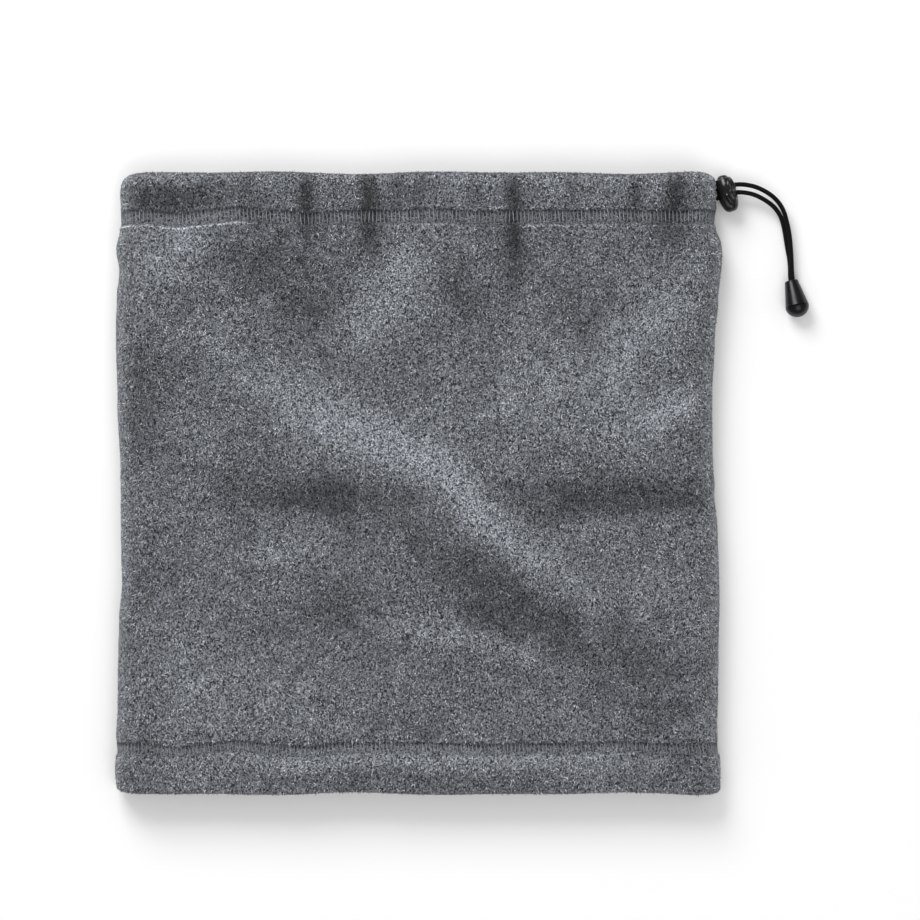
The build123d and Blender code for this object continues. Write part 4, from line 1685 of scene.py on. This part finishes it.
@dataclass
class LockBody:
    """The cord lock's moulded body: an egg-shaped barrel open at the button's end, ribbed for the thumb.

    Its own axes are across (along the cord's hole), up (along the barrel, towards the button) and out of
    the table; sizes along them are in millimetres.
    """

    widths: tuple[tuple[float, float], ...] = (
        (5.1, 3.3),
        (3.6, 3.75),
        (1.5, 4.25),
        (-2.5, 4.3),
        (-5.0, 4.0),
        (-7.0, 3.5),
        (-9.7, 2.4),
    )
    depth_share: float = 1.235
    foot_round: float = 1.5
    rim_round: float = 0.7
    bore: float = 2.6
    bore_floor: float = 1.0
    ribs: tuple[tuple[float, float], ...] = ((1.9, -3.2), (-0.2, -4.5), (-2.2, -5.5))
    rib_lean: float = 14.0
    rib_reach: float = 2.3
    rib_width: float = 0.62
    rib_rise: float = 0.5
    mouth: tuple[float, float] = (2.7, 1.2)
    mouth_size: tuple[float, float] = (1.0, 2.0)
    mouth_depth: float = 1.1
    lip_rise: float = 0.35

    def relief(self, across: Array, up: Array) -> Array:
        """How far the upper side stands proud: ribs, and a lipped dish where the cord leaves.

        Args:
            across: places along the cord's hole, in millimetres.
            up: places along the barrel, in millimetres.

        Returns:
            The rise at each place, in millimetres.
        """
        lean = math.radians(self.rib_lean)
        rise = np.zeros(len(across))
        for rib_across, rib_up in self.ribs:
            along = (up - rib_up) * math.cos(lean) - (across - rib_across) * math.sin(lean)
            aside = (up - rib_up) * math.sin(lean) + (across - rib_across) * math.cos(lean)
            ridge = np.exp(-((aside / self.rib_width) ** 4))
            rise += self.rib_rise * ridge * np.exp(-((along / self.rib_reach) ** 6))
        mouth_across, mouth_up = across - self.mouth[0], up - self.mouth[1]
        far = np.hypot(mouth_across / self.mouth_size[0], mouth_up / self.mouth_size[1])
        rise -= self.mouth_depth * smooth((1.15 - far) / 0.5)
        return rise + self.lip_rise * np.exp(-(((far - 1.4) / 0.3) ** 2))

    def build(self, wardrobe: Wardrobe) -> bpy.types.Object:
        """Make the body.

        Args:
            wardrobe: the finishes.

        Returns:
            The piece.
        """
        top, foot = self.widths[0][0], self.widths[-1][0]
        up = top + (foot - top) * np.linspace(0, 1, 110)
        knots = np.array(self.widths[::-1])
        plain = np.interp(up, knots[:, 0], knots[:, 1])
        half = np.convolve(np.pad(plain, 7, mode="edge"), np.full(15, 1 / 15), mode="valid")
        near_foot = np.clip((foot + self.foot_round - up) / self.foot_round, 0, 1)
        near_rim = np.clip((up - top + self.rim_round) / self.rim_round, 0, 1)
        pull_in = self.foot_round * (1 - np.sqrt(1 - near_foot**2))
        pull_in += self.rim_round * (1 - np.sqrt(1 - near_rim**2)) * 0.8
        turns = np.linspace(0, 2 * math.pi, 96, endpoint=False)
        rings = []
        for height, reach, less in zip(up, half, pull_in):
            across = (reach - less) * np.cos(turns)
            out = (reach * self.depth_share - less) * np.sin(turns)
            level = np.full(len(turns), height)
            raised = self.relief(across, level) * smooth(np.sin(turns) / 0.45)
            skin = [across + raised * np.cos(turns), level, out + raised * np.sin(turns)]
            rings.append(np.stack(skin, axis=1))
        wall = [
            np.stack(
                [self.bore * np.cos(turns), np.full(len(turns), level), self.bore * np.sin(turns)], axis=1
            )
            for level in (top, top - 0.25, self.bore_floor)
        ]
        rings = [*reversed(wall), *rings]
        vertices = on_lock(np.concatenate([*rings, [[0.0, foot, 0.0]]]))
        faces = []
        size = len(turns)
        for row in range(len(rings) - 1):
            for column in range(size):
                beside = (column + 1) % size
                low, high = row * size, (row + 1) * size
                faces.append((low + column, high + column, high + beside, low + beside))
        last = (len(rings) - 1) * size
        foot_point = len(vertices) - 1
        faces += [(last + column, foot_point, last + (column + 1) % size) for column in range(size)]
        piece = new_object("cord_lock_shell", vertices, faces)
        wardrobe.dress(piece, "lock")
        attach(piece, "cord_lock")
        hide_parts("cord_lock_body")
        return piece


@dataclass
class HardParts:
    """The frame's own nodes that show as they are, with their finishes."""

    finishes: dict[str, str] = field(
        default_factory=lambda: {
            "cord_lock_plunger": "lock",
            "cord_end_shell": "bell",
            "cord_end_cap": "bell",
            "cord_knot": "cord",
            "drawcord_loop": "cord",
        }
    )

    def dress(self, wardrobe: Wardrobe) -> None:
        """Put each node's finish on it.

        Args:
            wardrobe: the finishes.
        """
        for node, key in self.finishes.items():
            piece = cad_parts[node]
            piece.data.polygons.foreach_set("use_smooth", [True] * len(piece.data.polygons))
            wardrobe.dress(piece, key, own=False)
            LOG.info("dressed %s in %s", node, key)


# ------------------------------------------------------------------ studio


@dataclass
class Studio:
    """The table, the soft lights and the camera looking straight down."""

    view_centre: tuple[float, float] = (17.7 * MM, 9.9 * MM)
    view_width: float = 397.2 * MM
    camera_height: float = 1.6
    sensor: float = 36.0
    floor_size: float = 6.0
    room_light: float = 0.6
    room_dimming: float = 0.42

    def make_camera(self) -> None:
        """Place the camera over the table."""
        data = bpy.data.cameras.new("overhead_camera")
        data.sensor_width = self.sensor
        data.lens = self.sensor * (self.camera_height - EXIT_Z) / self.view_width
        data.clip_end = 50.0
        camera = bpy.data.objects.new("overhead_camera", data)
        camera.location = (self.view_centre[0], self.view_centre[1], self.camera_height)
        bpy.context.scene.collection.objects.link(camera)
        bpy.context.scene.camera = camera

    def make_light(self, name: str, place: tuple[float, float, float], size: float, power: float) -> None:
        """Add one large soft lamp aimed at the gaiter.

        Args:
            name: the lamp's name.
            place: where it hangs.
            size: its side, in metres.
            power: its power, in watts.
        """
        data = bpy.data.lights.new(name, "AREA")
        data.size = size
        data.energy = power
        lamp = bpy.data.objects.new(name, data)
        lamp.location = place
        lamp.rotation_mode = "QUATERNION"
        lamp.rotation_quaternion = (-Vector(place)).to_track_quat("-Z", "Y")
        bpy.context.scene.collection.objects.link(lamp)

    def build(self) -> None:
        """Make the floor, lights and world."""
        half = self.floor_size / 2
        corners = np.array([[-half, -half, 0], [half, -half, 0], [half, half, 0], [-half, half, 0]])
        floor = new_object("table_top", corners, [(0, 1, 2, 3)])
        material = bpy.data.materials.new("pale_table")
        material.use_nodes = True
        graph = Graph(material.node_tree)
        shell = graph.node("BsdfPrincipled", Roughness=0.8, Specular_IOR_Level=0.1)
        place = graph.node("TexCoord").outputs["Object"]
        tone = graph.mix(graph.noise(place, 3.0, 2.0), (0.86, 0.86, 0.86, 1.0), (0.90, 0.90, 0.90, 1.0))
        graph.join(tone, shell.inputs["Base Color"])
        graph.join(shell.outputs[0], graph.node("OutputMaterial").inputs["Surface"])
        floor.data.materials.append(material)
        self.make_light("key_lamp", (-0.5, 1.1, 1.0), 0.8, 17.0)
        self.make_light("fill_lamp", (0.4, -0.7, 1.3), 1.0, 6.0)
        world = bpy.data.worlds.new("soft_room")
        world.use_nodes = True
        room = Graph(world.node_tree)
        back = room.node("Background", Color=(1.0, 1.0, 1.0, 1.0))
        mirrored = room.math("MULTIPLY", room.node("LightPath").outputs["Is Glossy Ray"], self.room_dimming)
        room.join(room.math("SUBTRACT", self.room_light, mirrored), back.inputs["Strength"])
        room.join(back.outputs[0], room.node("OutputWorld").inputs["Surface"])
        bpy.context.scene.world = world
        bpy.context.scene.view_settings.view_transform = "Standard"


def main() -> None:
    """Build the whole gaiter, the cords and camera first."""
    logging.basicConfig(level=logging.INFO, format="%(message)s")
    studio = Studio()
    studio.make_camera()
    wardrobe = Wardrobe()
    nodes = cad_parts
    bell = [nodes[name] for name in ("cord_end_shell", "cord_end_cap", "cord_knot")]
    lock = [LockBody().build(wardrobe), nodes["cord_lock_plunger"], LockSpring().build(wardrobe)]
    strands = [
        Strand("drawcord_strand_outer", "tail_strand_outer", OUTER_STRAND, 0.070),
        Strand("drawcord_strand_inner", "tail_strand_inner", INNER_STRAND, 0.066),
    ]
    for strand, on_it in zip(strands, (bell, lock)):
        piece = strand.build(wardrobe, on_it)
        LOG.info("built %s, %d faces", piece.name, len(piece.data.polygons))
    shape = ClothShape()
    cloth = FleeceTube(shape).build(wardrobe)
    sewn = [
        FibreCoat(shape, Face.FRONT).build(wardrobe),
        FibreCoat(shape, Face.BACK).build(wardrobe),
        StitchRow(shape, "top_hem_thread", "top_hem_stitching").build(wardrobe),
        StitchRow(shape, "bottom_hem_thread", "bottom_hem_stitching", seed=8).build(wardrobe),
        BackSeam(shape).build(wardrobe),
        ButtonholeBinding(shape).build(wardrobe),
        CareLabel().build(wardrobe),
    ]
    for piece in [cloth, *sewn]:
        LOG.info("built %s, %d faces", piece.name, len(piece.data.polygons))
    HardParts().dress(wardrobe)
    studio.build()


if __name__ == "__main__":
    main()
